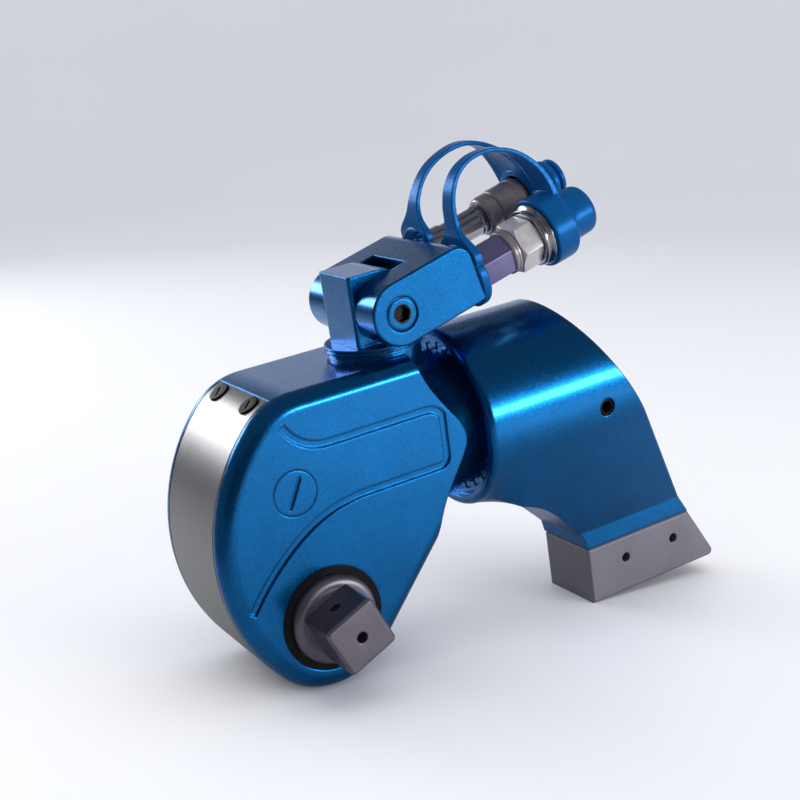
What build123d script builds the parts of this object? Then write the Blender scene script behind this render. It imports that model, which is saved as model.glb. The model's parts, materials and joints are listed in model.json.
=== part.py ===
from build123d import *
from math import asin, atan2, cos, degrees, hypot, radians, sin, sqrt, tan
import os

# A square-drive hydraulic torque wrench, in millimetres.
# The tool frame has its origin on the drive axis at mid-width, X towards the cylinder and Z up.
# Every piece is drawn there, and the whole tool is then stood on its heel and its reaction foot.

# Head casting
head_width = 68.0
heel_radius = 34.0
nose_radius = 86.0
nose_lean = 40.0
head_top = 103.5
crown_round = 32.0
belly_angle = 48.0
belly_corner = 62.0
edge_round = 7.5
cavity_half_width = 19.4
cavity_top = 81.0
cavity_rear = 54.0
cavity_floor = -8.0
belly_wall = 7.0

# Cylinder and the neck round it
cylinder_height = 61.3
neck_radius = 33.0
neck_start = 88.0
neck_end = 158.0
cove_radius = 30.0
bore_radius = 21.0
bore_front = 96.0
stroke = 24.5
piston_length = 18.0
piston_gap = 1.0
rod_radius = 10.0
rod_bush_radius = 12.0
rod_bush_length = 34.0
rod_eye_length = 29.0
rod_eye_height = 20.0
rod_eye_width = 23.6
spigot_radius = 7.0
end_cap_length = 17.0
running_gap = 0.05
free_gap = 0.35

# Splines that hold the reaction arm on the neck
spline_count = 24
spline_tip = 36.0
spline_tooth = 4.4
spline_start = 92.5
spline_end = 117.0

# Grooves on the side faces and the round plugs over the rod pin
groove_width = 3.3
groove_depth = 1.2
plug_radius = 10.2
plug_x = -7.2
plug_height = 61.6

# Shroud over the open nose
shroud_width = 50.0
shroud_thickness = 2.5
shroud_top_angle = 108.5
shroud_end = 235.0
shroud_side_gap = 0.7
tongue_sweep = 5.0
tongue_thickness = 1.2
shroud_screw_offset = 16.0
shroud_screw_head = 5.0
shroud_screw_shank = 2.5
shroud_screw_length = 11.0

# Ratchet drive
tooth_count = 48
wheel_tip = 27.5
tooth_depth = 1.9
tooth_lean = 1.2
wheel_half_width = 12.0
hub_radius = 17.45
hub_half_length = 30.0
lever_length = 61.6
plate_thickness = 6.5
plate_ring = 23.0
plate_eye = 10.5
rod_pin_radius = 5.0
shoe_outer = 41.0
shoe_teeth = 4
shoe_lift = 2.2
shoe_pin_radius = 2.5
shoe_pin_offset = 7.0
shoe_pin_height = 35.0
leaf_thickness = 0.8
pawl_low = 15.0
pawl_high = 50.0
pawl_outer = 38.0
pawl_pivot_x = 37.1
pawl_pivot_height = 12.0
pawl_pin_radius = 3.0
crest_gap = 0.3
seat_radius = 24.0
bush_length = 11.0

# Square drive
square_size = 25.4
square_turn = 22.0
square_reach = 60.8
square_corner = 2.4
collar_radius = 20.4
collar_proud = 5.0
shaft_root = 13.0
shaft_tip = 15.0
shaft_tooth = 3.4
shaft_teeth = 12
end_hole_radius = 2.6
pin_hole_radius = 2.6
pin_hole_inset = 12.5

# Drive retainer with its push button, on the far side
retainer_radius = 19.0
retainer_proud = 3.5
button_radius = 6.5
button_proud = 2.8
button_travel = 2.0

# Reaction arm and foot
sleeve_radius = 44.0
sleeve_start = 88.0
sleeve_rim = 4.5
sleeve_lip = 4.0
sleeve_edge_round = 3.0
rear_top = 145.5
rear_slope = 0.5486
foot_width = 37.0
foot_front = 150.7
foot_top = -24.7
foot_bottom = -54.2
flange_height = 10.2
arch_start = 108.0
arch_height = 16.4
arch_run = 24.5
arch_slope = 47.5
arch_toe_run = 1.4
arch_toe_height = 7.0
foot_joint_chamfer = 0.8
foot_hole_radius = 2.5
foot_hole_height = -36.3
foot_hole_near = 173.9
foot_hole_pitch = 31.5
foot_screw_radius = 4.0
lock_screw_x = 153.6
lock_screw_height = 56.2
lock_screw_radius = 4.3

# Swivel
swivel_x = 58.5
boss_radius = 21.5
boss_rise = 2.5
post_flange_radius = 22.7
post_flange_thickness = 2.8
post_stem_radius = 14.0
post_stem_length = 20.0
post_tongue_width = 28.4
tongue_left = 15.2
block_pitch = 14.0
ear_radius = 14.5
block_width = 63.0
block_length = 42.0
block_rear_round = 8.0
fork_side_gap = 0.5
fork_end_gap = 0.7
ear_foot_gap = 0.6
pivot_head_radius = 7.8
pivot_head_length = 4.0
pivot_shank_radius = 5.5
pivot_key = 6.5

# Couplers, screwed into the end of the swivel block
near_port_y = -16.5
near_port_height = -5.5
far_port_y = 16.5
far_port_height = 4.0
port_radius = 6.0
port_depth = 12.0
near_hex = 19.0
near_hex_turn = 41.5
near_hex_length = 20.3
near_spigot = 8.0
collar_length = 4.5
collar_size = 10.8
nut_hex = 22.0
nut_turn = 7.0
nut_length = 11.5
sleeve_ring_radius = 15.3
sleeve_ring_length = 4.8
sleeve_radius_inside = 14.0
sleeve_length = 16.0
far_adaptor_radius = 7.2
far_adaptor_length = 37.5
far_body_radius = 10.5
far_body_length = 26.5
far_spigot_radius = 8.6
far_spigot_length = 6.0
strap_ring_thickness = 2.6
near_strap_ring = 15.5
far_strap_ring = 13.0

# Dust caps and straps
near_cap_radius = 17.2
near_cap_length = 15.8
near_cap_nose = 12.4
near_nose_length = 13.0
far_cap_radius = 14.0
far_cap_length = 8.0
far_cap_nose = 9.4
far_nose_length = 13.4
cap_wall = 1.6
cap_gap = 0.4
strap_width = 8.0
strap_thickness = 2.6

boss_top = head_top + boss_rise
post_flange_top = boss_top + 0.2 + post_flange_thickness
post_stem_bottom = boss_top - post_stem_length
pivot_height = post_flange_top + ear_radius + ear_foot_gap
tongue_round = ear_radius + 3.5
tongue_top = tongue_round - 0.4
fork_depth = tongue_round + fork_end_gap
tongue_half_width = post_tongue_width / 2
fork_half_gap = tongue_half_width + fork_side_gap
block_half_width = block_width / 2
across = Axis.Y
lever_lean = degrees(asin(stroke / 2 / lever_length))


def side(offset=0.0):
    """A side view of the tool, drawn on a plane parallel to its mid-plane."""
    return Plane.XZ.offset(-offset)


ready = []


def keep(part, name, place=Location()):
    """Label a finished piece and note where it stands in the tool frame."""
    placed = part.moved(place)
    placed.label = name
    ready.append(placed)


def polar(radius, angle):
    """A point in side view, from its distance and angle about the drive axis."""
    return (radius * cos(radians(angle)), radius * sin(radians(angle)))


def saw(root, tip, count, start):
    """Corners of a ring of ratchet teeth, steep on the clockwise side."""
    corners = []
    step = 360.0 / count
    for tooth in range(count):
        angle = start + tooth * step
        corners.append(polar(root, angle - tooth_lean))
        corners.append(polar(tip, angle))
    return corners


def spline_face(root, tip, tooth, count):
    """The cross-section of a splined shaft or bore about the drive axis."""
    with BuildSketch(Plane.XZ) as face:
        Circle(root)
        with PolarLocations((root + tip) / 2 - 0.5, count):
            Rectangle(tip - root + 1.0, tooth)
    return face.sketch


def tube(inner, outer, start, end, height=None):
    """A ring about the cylinder axis, between two places along the tool."""
    with BuildPart() as body:
        with BuildSketch(Plane.YZ.offset(start)):
            with Locations((0, cylinder_height if height is None else height)):
                Circle(outer)
                if inner > 0:
                    Circle(inner, mode=Mode.SUBTRACT)
        extrude(amount=end - start)
    return body.part


# The head's outline in side view: a heel arc about the drive, a long nose arc and a flat crown
nose_reach = nose_radius - heel_radius
nose_centre = (nose_reach * cos(radians(nose_lean)), nose_reach * sin(radians(nose_lean)))
heel_nose = (-heel_radius * cos(radians(nose_lean)), -heel_radius * sin(radians(nose_lean)))
heel_belly = (heel_radius * sin(radians(belly_angle)), -heel_radius * cos(radians(belly_angle)))
crown_rise = head_top - crown_round - nose_centre[1]
crown_centre = (
    nose_centre[0] - sqrt((nose_radius - crown_round) ** 2 - crown_rise**2),
    nose_centre[1] + crown_rise,
)
belly_height = heel_belly[1] + (belly_corner - heel_belly[0]) * tan(radians(belly_angle))
head_rear = neck_start + 2.0
neck_axis = Axis((0, 0, cylinder_height), (1, 0, 0))


def nose_point(angle, inset=0.0):
    """A point on the nose arc, or inside it by the inset."""
    reach = nose_radius - inset
    return (
        nose_centre[0] + reach * cos(radians(angle)),
        nose_centre[1] + reach * sin(radians(angle)),
    )


def crown_point(angle, inset=0.0):
    """A point on the crown arc, or inside it by the inset."""
    reach = crown_round - inset
    return (
        crown_centre[0] + reach * cos(radians(angle)),
        crown_centre[1] + reach * sin(radians(angle)),
    )


def heel_point(angle, inset=0.0):
    """A point on the heel arc, or inside it by the inset."""
    reach = heel_radius - inset
    return (reach * cos(radians(angle)), reach * sin(radians(angle)))


nose_foot_angle = 180.0 + nose_lean
crown_foot_angle = degrees(atan2(crown_rise, crown_centre[0] - nose_centre[0]))
nose_middle = (crown_foot_angle + nose_foot_angle) / 2
shroud_screw_angle = shroud_top_angle + degrees((shroud_screw_head + 0.6) / crown_round)


def nose_band(inner, outer, top_angle, end_angle):
    """A band that follows the crown, nose and heel arcs from one angle round to another."""
    with BuildSketch(side()) as band:
        with BuildLine():
            high = (top_angle + crown_foot_angle) / 2
            low = (nose_foot_angle + end_angle) / 2
            ThreePointArc(
                crown_point(top_angle, outer),
                crown_point(high, outer),
                crown_point(crown_foot_angle, outer),
            )
            ThreePointArc(
                nose_point(crown_foot_angle, outer),
                nose_point(nose_middle, outer),
                nose_point(nose_foot_angle, outer),
            )
            ThreePointArc(
                heel_point(nose_foot_angle, outer),
                heel_point(low, outer),
                heel_point(end_angle, outer),
            )
            Line(heel_point(end_angle, outer), heel_point(end_angle, inner))
            ThreePointArc(
                heel_point(end_angle, inner),
                heel_point(low, inner),
                heel_point(nose_foot_angle, inner),
            )
            ThreePointArc(
                nose_point(nose_foot_angle, inner),
                nose_point(nose_middle, inner),
                nose_point(crown_foot_angle, inner),
            )
            ThreePointArc(
                crown_point(crown_foot_angle, inner),
                crown_point(high, inner),
                crown_point(top_angle, inner),
            )
            Line(crown_point(top_angle, inner), crown_point(top_angle, outer))
        make_face()
    return band.sketch


def groove_face():
    """The styling groove of a side face, as a ribbon of even width."""
    with BuildSketch(side()) as ribbon:
        with BuildLine() as route:
            start = Line((12.0, 79.0), (61.5, 79.0))
            corner = TangentArc(start @ 1, (65.6 + 4.0, 74.7), tangent=(1, 0))
            back = Line(corner @ 1, (69.2, 55.7))
            lower = TangentArc(back @ 1, (64.6, 51.6), tangent=(0, -1))
            bottom = Line(lower @ 1, (27.0, 51.6))
            bend = TangentArc(bottom @ 1, (-8.9, 40.6), tangent=(-1, 0))
            TangentArc(bend @ 1, (-36.4, 14.4), tangent=bend % 1)
            TangentArc(start @ 0, (-8.0, 91.6), tangent=(-1, 0))
        trace(line_width=groove_width)
    return ribbon.sketch


def ring(inner, outer, low, high, centre=(0.0, 0.0)):
    """A ring about an axis across the tool, between two places on that axis."""
    with BuildPart() as body:
        with BuildSketch(side(low)):
            with Locations(centre):
                Circle(outer)
                if inner > 0:
                    Circle(inner, mode=Mode.SUBTRACT)
        extrude(amount=-(high - low))
    return body.part


half_width = head_width / 2
groove = groove_face()
cavity_nose = nose_radius - shroud_thickness
wheel_room = wheel_tip + 0.9
bore_end = neck_end
belly_in = (
    heel_belly[0] - belly_wall * sin(radians(belly_angle)),
    heel_belly[1] + belly_wall * cos(radians(belly_angle)),
)


def belly_inside(x):
    """Height of the belly wall's inner face at x."""
    return belly_in[1] + (x - belly_in[0]) * tan(radians(belly_angle))


cavity_floor_x = belly_in[0] + (cavity_floor - belly_in[1]) / tan(radians(belly_angle))

with BuildPart() as housing:
    with BuildSketch(side()):
        with BuildLine():
            ThreePointArc(heel_belly, (0.0, -heel_radius), heel_nose)
            ThreePointArc(heel_nose, nose_point(nose_middle), nose_point(crown_foot_angle))
            ThreePointArc(
                nose_point(crown_foot_angle),
                crown_point((crown_foot_angle + 90.0) / 2),
                crown_point(90.0),
            )
            Polyline(
                crown_point(90.0),
                (head_rear, head_top),
                (head_rear, belly_height),
                (belly_corner, belly_height),
                heel_belly,
            )
        make_face()
    extrude(amount=half_width, both=True)
    rims = [
        edge
        for face in housing.faces().filter_by(across)
        for edge in face.edges()
        if edge.center().X < head_rear - 1
    ]
    fillet(rims, edge_round)
    cove_top = cylinder_height + neck_radius + cove_radius
    with BuildSketch(side()):
        with BuildLine():
            ThreePointArc(
                (neck_start - cove_radius, cove_top),
                (neck_start - cove_radius * cos(radians(45)), cove_top - cove_radius * sin(radians(45))),
                (neck_start, cove_top - cove_radius),
            )
            Polyline(
                (neck_start, cove_top - cove_radius),
                (head_rear + 5, cove_top - cove_radius),
                (head_rear + 5, cove_top + 5),
                (neck_start - cove_radius, cove_top + 5),
                (neck_start - cove_radius, cove_top),
            )
        make_face()
    revolve(axis=neck_axis, mode=Mode.SUBTRACT)
    with Locations((swivel_x, 0, boss_top)):
        Cylinder(boss_radius, 20, align=(Align.CENTER, Align.CENTER, Align.MAX))
    with BuildSketch(Plane.YZ.offset(neck_start - 20)):
        with Locations((0, cylinder_height)):
            Circle(neck_radius)
    extrude(amount=neck_end - neck_start + 20)
    chamfer(housing.faces().sort_by(Axis.X)[-1].edges(), 2.0)
    with BuildSketch(Plane.YZ.offset(spline_start)):
        with Locations((0, cylinder_height)):
            with PolarLocations((neck_radius + spline_tip) / 2 - 0.5, spline_count):
                Rectangle(spline_tip - neck_radius + 1.0, spline_tooth)
    extrude(amount=spline_end - spline_start)

    # Slot for the ratchet, open at the nose
    with BuildSketch(side()):
        Circle(wheel_room)
        with BuildSketch(side()) as slot:
            with Locations(nose_centre):
                Circle(cavity_nose)
            with BuildLine():
                Polyline(
                    (-60.0, cavity_floor),
                    (cavity_floor_x, cavity_floor),
                    (cavity_rear, belly_inside(cavity_rear)),
                    (cavity_rear, cavity_top),
                    (-60.0, cavity_top),
                    close=True,
                )
            make_face(mode=Mode.INTERSECT)
    extrude(amount=cavity_half_width, both=True, mode=Mode.SUBTRACT)
    extrude(
        nose_band(shroud_thickness, -1.0, shroud_top_angle, shroud_end),
        amount=shroud_width / 2 + shroud_side_gap,
        both=True,
        mode=Mode.SUBTRACT,
    )

    # Seats of the drive bushes, the rod bore and the cylinder bore
    with BuildSketch(side()):
        Circle(seat_radius)
    extrude(amount=half_width + 1, both=True, mode=Mode.SUBTRACT)
    with BuildSketch(Plane.YZ.offset(cavity_rear - 1)):
        with Locations((0, cylinder_height)):
            Circle(rod_bush_radius)
    extrude(amount=bore_front - cavity_rear + 1, mode=Mode.SUBTRACT)
    with BuildSketch(Plane.YZ.offset(bore_front)):
        with Locations((0, cylinder_height)):
            Circle(bore_radius)
    extrude(amount=neck_end - bore_front, mode=Mode.SUBTRACT)

    # Bore of the swivel post, the plug hole and the grooves
    with BuildSketch(Plane.XY.offset(post_stem_bottom - 0.5)):
        with Locations((swivel_x, 0)):
            Circle(post_stem_radius + running_gap)
    extrude(amount=boss_top - post_stem_bottom + 1, mode=Mode.SUBTRACT)
    for direction in (-1, 1):
        with BuildSketch(side(direction * half_width)):
            with Locations((plug_x, plug_height)):
                Circle(plug_radius + 0.15)
        extrude(amount=direction * (half_width - cavity_half_width + 0.5), mode=Mode.SUBTRACT)
        extrude(
            groove.moved(Location((0, direction * half_width, 0))),
            amount=direction * groove_depth,
            mode=Mode.SUBTRACT,
        )


    # Bore of the reaction pawl's pin, closed at the near side
    with BuildSketch(side(-half_width + 8)):
        with Locations((pawl_pivot_x, pawl_pivot_height)):
            Circle(pawl_pin_radius + 0.02)
    extrude(amount=-(head_width - 7), mode=Mode.SUBTRACT)

    # Pocket for the tongue at the shroud's foot
    tongue_low = shroud_end - 1.0
    with BuildSketch(side()):
        with BuildLine():
            outer_arc = CenterArc((0, 0), heel_radius - 1.0, tongue_low, tongue_sweep + 1.6)
            inner_arc = CenterArc((0, 0), heel_radius - shroud_thickness, tongue_low, tongue_sweep + 1.6)
            Line(outer_arc @ 0, inner_arc @ 0)
            Line(outer_arc @ 1, inner_arc @ 1)
        make_face()
    extrude(amount=15.3, both=True, mode=Mode.SUBTRACT)

    # Tapped holes of the shroud screws
    for offset in (-shroud_screw_offset, shroud_screw_offset):
        x, height = crown_point(shroud_screw_angle)
        outward = (cos(radians(shroud_screw_angle)), 0, sin(radians(shroud_screw_angle)))
        with BuildSketch(Plane(origin=(x, offset, height), z_dir=outward)):
            Circle(shroud_screw_shank + 0.02)
        extrude(amount=-shroud_screw_length - 1.0, mode=Mode.SUBTRACT)
keep(housing.part, "housing")

# Plugs over the ends of the rod pin, each with a shallow slot
with BuildPart() as side_plugs:
    for direction in (-1, 1):
        with BuildSketch(side(direction * half_width)):
            with Locations((plug_x, plug_height)):
                Circle(plug_radius)
        extrude(amount=direction * (half_width - cavity_half_width))
        with BuildSketch(side(direction * half_width)):
            with Locations((plug_x, plug_height)):
                SlotOverall(15.0, 1.4, rotation=62)
        extrude(amount=direction * 0.9, mode=Mode.SUBTRACT)
keep(side_plugs.part, "side_plugs")

# Shroud, tucked under a lip at its foot and screwed down at its head
with BuildPart() as shroud:
    extrude(
        nose_band(shroud_thickness - 0.05, 0.0, shroud_top_angle + 0.2, shroud_end - 0.3),
        amount=shroud_width / 2,
        both=True,
    )
    with BuildSketch(side()):
        with BuildLine():
            outer_arc = CenterArc((0, 0), heel_radius - 1.15, tongue_low, tongue_sweep)
            inner_arc = CenterArc((0, 0), heel_radius - 1.15 - tongue_thickness, tongue_low, tongue_sweep)
            Line(outer_arc @ 0, inner_arc @ 0)
            Line(outer_arc @ 1, inner_arc @ 1)
        make_face()
    extrude(amount=15.0, both=True)
    for offset in (-shroud_screw_offset, shroud_screw_offset):
        x, height = crown_point(shroud_screw_angle)
        outward = (cos(radians(shroud_screw_angle)), 0, sin(radians(shroud_screw_angle)))
        seat = Plane(origin=(x, offset, height), z_dir=outward)
        with BuildSketch(seat.offset(0.2)):
            Circle(shroud_screw_head + 0.15)
        extrude(amount=-1.2, mode=Mode.SUBTRACT)
        with BuildSketch(seat):
            Circle(shroud_screw_shank + 0.15)
        extrude(amount=-4.0, mode=Mode.SUBTRACT)
keep(shroud.part, "nose_shroud")

with BuildPart() as shroud_screws:
    for offset in (-shroud_screw_offset, shroud_screw_offset):
        x, height = crown_point(shroud_screw_angle)
        outward = (cos(radians(shroud_screw_angle)), 0, sin(radians(shroud_screw_angle)))
        seat = Plane(origin=(x, offset, height), z_dir=outward)
        with BuildSketch(seat.offset(0.6)):
            Circle(shroud_screw_head)
        extrude(amount=-1.6)
        with BuildSketch(seat):
            Circle(shroud_screw_shank)
        extrude(amount=-shroud_screw_length)
        with BuildSketch(seat.offset(0.6)):
            SlotOverall(5.4, 1.1, rotation=35)
        extrude(amount=-1.0, mode=Mode.SUBTRACT)
keep(shroud_screws.part, "shroud_screws")

# Ratchet wheel, drawn with the lever upright and turned with it to its rest place
lever_rest = Rot(0, lever_lean, 0)
tooth_step = 360.0 / tooth_count
wheel_root = wheel_tip - tooth_depth
with BuildPart() as wheel:
    with BuildSketch(Plane.XZ):
        with BuildLine():
            Polyline(*saw(wheel_root, wheel_tip, tooth_count, 90.0), close=True)
        make_face()
    extrude(amount=wheel_half_width, both=True)
    with BuildSketch(Plane.XZ):
        Circle(hub_radius)
    extrude(amount=hub_half_length, both=True)
    extrude(
        spline_face(shaft_root + 0.06, shaft_tip + 0.06, shaft_tooth + 0.12, shaft_teeth),
        amount=hub_half_length,
        both=True,
        mode=Mode.SUBTRACT,
    )
keep(wheel.part, "ratchet_wheel", lever_rest)

bush_inner = hub_radius + 0.07
bush_near = -cavity_half_width - 0.2
for name, start in (("front_drive_bush", bush_near - bush_length), ("rear_drive_bush", -bush_near)):
    keep(ring(bush_inner, seat_radius - 0.05, start, start + bush_length), name)
keep(
    ring(collar_radius + free_gap, seat_radius - 0.05, -half_width - 0.4, -half_width + 2.8),
    "front_seal_ring",
)
keep(
    ring(retainer_radius + free_gap, seat_radius - 0.05, half_width - 2.8, half_width + 0.4),
    "rear_seal_ring",
)

# Square drive: splined shaft, round collar and square end in one piece
collar_start = -half_width + 2.6
collar_end = -half_width - collar_proud
spigot_end = half_width - 2.7
square_phase = square_turn + lever_lean
with BuildPart() as drive:
    extrude(
        spline_face(shaft_root, shaft_tip, shaft_tooth, shaft_teeth).moved(
            Location((0, collar_start - 1, 0))
        ),
        amount=-(hub_half_length - collar_start - 1),
    )
    with BuildSketch(side(collar_end)):
        Circle(collar_radius)
    extrude(amount=-(collar_start - collar_end))
    shoulder = drive.edges().filter_by(GeomType.CIRCLE).filter_by_position(across, collar_end - 0.1, collar_end + 0.1)
    fillet(shoulder, 3.5)
    with BuildSketch(side(collar_end - 0.1)):
        Circle(square_size / 2 + 2.6)
    extrude(amount=-2.0)
    with BuildSketch(side(-square_reach)):
        RectangleRounded(square_size, square_size, square_corner, rotation=square_phase)
    extrude(amount=-(square_reach + collar_end + 2.0))
    end_edges = drive.faces().sort_by(across)[0].edges()
    chamfer(end_edges, 1.2)
    with BuildSketch(side(-square_reach - 1)):
        Circle(end_hole_radius)
    extrude(amount=-8.0, mode=Mode.SUBTRACT)
    with BuildSketch(
        Plane(
            origin=(0, -square_reach + pin_hole_inset, 0),
            z_dir=(-sin(radians(square_phase)), 0, cos(radians(square_phase))),
        )
    ):
        Circle(pin_hole_radius)
    extrude(amount=square_size, both=True, mode=Mode.SUBTRACT)
    with BuildSketch(side(hub_half_length - 2)):
        Circle(9.0)
    extrude(amount=-(spigot_end - hub_half_length + 2))
keep(drive.part, "square_drive", lever_rest)

# Drive retainer, its push button and the disc spring behind the button
retainer_start = half_width - 3.2
retainer_end = half_width + retainer_proud
with BuildPart() as retainer:
    with BuildSketch(side(retainer_start)):
        Circle(retainer_radius)
    extrude(amount=-(retainer_end - retainer_start))
    chamfer(retainer.edges().filter_by_position(across, retainer_end - 0.1, retainer_end + 0.1), 1.0)
    with BuildSketch(side(retainer_start)):
        Circle(9.05)
    extrude(amount=-(retainer_end - 1.9 - retainer_start), mode=Mode.SUBTRACT)
    with BuildSketch(side(retainer_start)):
        Circle(button_radius + 0.08)
    extrude(amount=-10.0, mode=Mode.SUBTRACT)
keep(retainer.part, "drive_retainer")

button_flange = retainer_end - 3.2
with BuildPart() as button:
    with BuildSketch(side(button_flange)):
        Circle(8.7)
    extrude(amount=-1.2)
    with BuildSketch(side(button_flange)):
        Circle(button_radius)
    extrude(amount=-(retainer_end + button_proud - button_flange))
    chamfer(button.faces().sort_by(across)[-1].edges(), 0.8)
keep(button.part, "retainer_button")

with BuildPart() as button_spring:
    with BuildSketch(Plane.XY):
        with BuildLine():
            Polyline(
                (8.5, spigot_end),
                (8.5, spigot_end + 0.5),
                (5.5, button_flange),
                (5.0, button_flange),
                (5.0, button_flange - 0.5),
                (8.0, spigot_end),
                close=True,
            )
        make_face()
    revolve(axis=Axis.Y)
keep(button_spring.part, "button_spring")

# Drive plates, one on each side of the wheel, that carry the rod pin
post_radius = 2.2
post_height = shoe_outer + 4.0 + leaf_thickness + post_radius
plate_inner = wheel_half_width + 0.3
for name, start in (("near_drive_plate", -plate_inner - plate_thickness), ("far_drive_plate", plate_inner)):
    with BuildPart() as plate:
        with BuildSketch(side(start)):
            Circle(plate_ring)
            with Locations((0, lever_length)):
                Circle(plate_eye)
            make_hull()
            Circle(hub_radius + 0.05, mode=Mode.SUBTRACT)
            with Locations((0, lever_length)):
                Circle(rod_pin_radius + 0.02, mode=Mode.SUBTRACT)
            with Locations((-shoe_pin_offset, shoe_pin_height), (shoe_pin_offset, shoe_pin_height)):
                Circle(shoe_pin_radius + 0.02, mode=Mode.SUBTRACT)
            with Locations((0, post_height)):
                Circle(post_radius + 0.02, mode=Mode.SUBTRACT)
        extrude(amount=-plate_thickness)
    keep(plate.part, name, lever_rest)

plate_outer = plate_inner + plate_thickness
keep(ring(0, rod_pin_radius, -plate_outer, plate_outer, (0, lever_length)), "rod_pin", lever_rest)
with BuildPart() as lever_pins:
    with BuildSketch(side(-plate_outer)):
        with Locations((-shoe_pin_offset, shoe_pin_height), (shoe_pin_offset, shoe_pin_height)):
            Circle(shoe_pin_radius)
        with Locations((0, post_height)):
            Circle(post_radius)
    extrude(amount=-2 * plate_outer)
keep(lever_pins.part, "shoe_pins", lever_rest)

# Toothed shoe between the plates, lifted off the wheel along the two slots
shoe_half = shoe_teeth * tooth_step / 2
with BuildPart() as shoe:
    with BuildSketch(Plane.XZ):
        with BuildLine():
            outer = CenterArc((0, 0), shoe_outer, 90 - shoe_half, 2 * shoe_half)
            inner = CenterArc((0, 0), wheel_root - 1.0, 90 - shoe_half, 2 * shoe_half)
            Line(outer @ 0, inner @ 0)
            Line(outer @ 1, inner @ 1)
        make_face()
        with BuildSketch(Plane.XZ, mode=Mode.PRIVATE) as mesh:
            with BuildLine():
                Polyline(*saw(wheel_root + 0.15, wheel_tip + 0.15, tooth_count, 90.0), close=True)
            make_face()
        add(mesh.sketch, mode=Mode.SUBTRACT)
        for x in (-shoe_pin_offset, shoe_pin_offset):
            with Locations((x, shoe_pin_height - (shoe_lift + 0.2) / 2)):
                SlotOverall(
                    2 * shoe_pin_radius + 0.2 + shoe_lift + 0.2,
                    2 * shoe_pin_radius + 0.2,
                    rotation=90,
                    mode=Mode.SUBTRACT,
                )
    extrude(amount=wheel_half_width - 0.2, both=True)
keep(shoe.part, "drive_shoe", lever_rest)

with BuildPart() as shoe_spring:
    with BuildSketch(Plane.XZ):
        with BuildLine():
            foot_x = 8.0
            foot_z = sqrt(shoe_outer**2 - foot_x**2) + 0.35
            low_arc = ThreePointArc((-foot_x, foot_z), (0, shoe_outer + 4.0), (foot_x, foot_z))
            high_arc = ThreePointArc(
                (-foot_x - 0.6, foot_z + leaf_thickness * 0.7),
                (0, shoe_outer + 4.0 + leaf_thickness),
                (foot_x + 0.6, foot_z + leaf_thickness * 0.7),
            )
            Line(low_arc @ 0, high_arc @ 0)
            Line(low_arc @ 1, high_arc @ 1)
        make_face()
    extrude(amount=5.0, both=True)
keep(shoe_spring.part, "shoe_spring", lever_rest)

# Reaction pawl, riding on the tooth crests, with its pin and leaf spring
with BuildPart() as pawl:
    with BuildSketch(Plane.XZ):
        with BuildLine():
            outer = CenterArc((0, 0), pawl_outer, pawl_low, pawl_high - pawl_low)
            inner = CenterArc((0, 0), wheel_tip + crest_gap, pawl_low, pawl_high - pawl_low)
            Line(outer @ 0, inner @ 0)
            Line(outer @ 1, inner @ 1)
        make_face()
        with Locations((pawl_pivot_x, pawl_pivot_height)):
            Circle(6.0)
        with BuildSketch(Plane.XZ, mode=Mode.PRIVATE) as mesh:
            with BuildLine():
                crest = wheel_tip + crest_gap
                Polyline(*saw(crest, crest + tooth_depth, tooth_count, 90.0), close=True)
            make_face()
        add(mesh.sketch, mode=Mode.SUBTRACT)
        with Locations((pawl_pivot_x, pawl_pivot_height)):
            Circle(pawl_pin_radius + 0.06, mode=Mode.SUBTRACT)
    extrude(amount=wheel_half_width, both=True)
keep(pawl.part, "reaction_pawl")
keep(
    ring(0, pawl_pin_radius, -half_width + 8.2, half_width - 0.6, (pawl_pivot_x, pawl_pivot_height)),
    "reaction_pawl_pin",
)

with BuildPart() as pawl_spring:
    with BuildSketch(Plane.XZ):
        with BuildLine():
            wall_x = cavity_rear - leaf_thickness / 2
            stem = Line((wall_x, 22.0), (wall_x, 32.0))
            tip_x, tip_z = polar(pawl_outer + 0.55, 42.0)
            TangentArc(stem @ 1, (tip_x, tip_z), tangent=(0, 1))
        trace(line_width=leaf_thickness)
    extrude(amount=5.0, both=True)
keep(pawl_spring.part, "reaction_pawl_spring")

# Piston, rod and the cylinder's closing parts
piston_front = bore_front + piston_gap + stroke
piston_rear = piston_front + piston_length
cap_front = neck_end - end_cap_length
with BuildPart() as piston:
    with BuildSketch(Plane.YZ.offset(piston_front)):
        with Locations((0, cylinder_height)):
            Circle(bore_radius - 0.1)
            Circle(spigot_radius + 0.03, mode=Mode.SUBTRACT)
    extrude(amount=piston_length)
    for start, width in ((3.0, 4.0), (10.5, 4.5)):
        with BuildSketch(Plane.YZ.offset(piston_front + start)):
            with Locations((0, cylinder_height)):
                Circle(bore_radius + 1)
                Circle(bore_radius - 3.0, mode=Mode.SUBTRACT)
        extrude(amount=width, mode=Mode.SUBTRACT)
keep(piston.part, "piston")
groove_floor = bore_radius - 3.0
seal_outer = bore_radius - running_gap
keep(
    tube(groove_floor + 0.02, seal_outer, piston_front + 3.05, piston_front + 6.95),
    "piston_seal",
)
keep(
    tube(groove_floor + 0.02, seal_outer, piston_front + 10.55, piston_front + 14.95),
    "piston_wear_ring",
)

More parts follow.
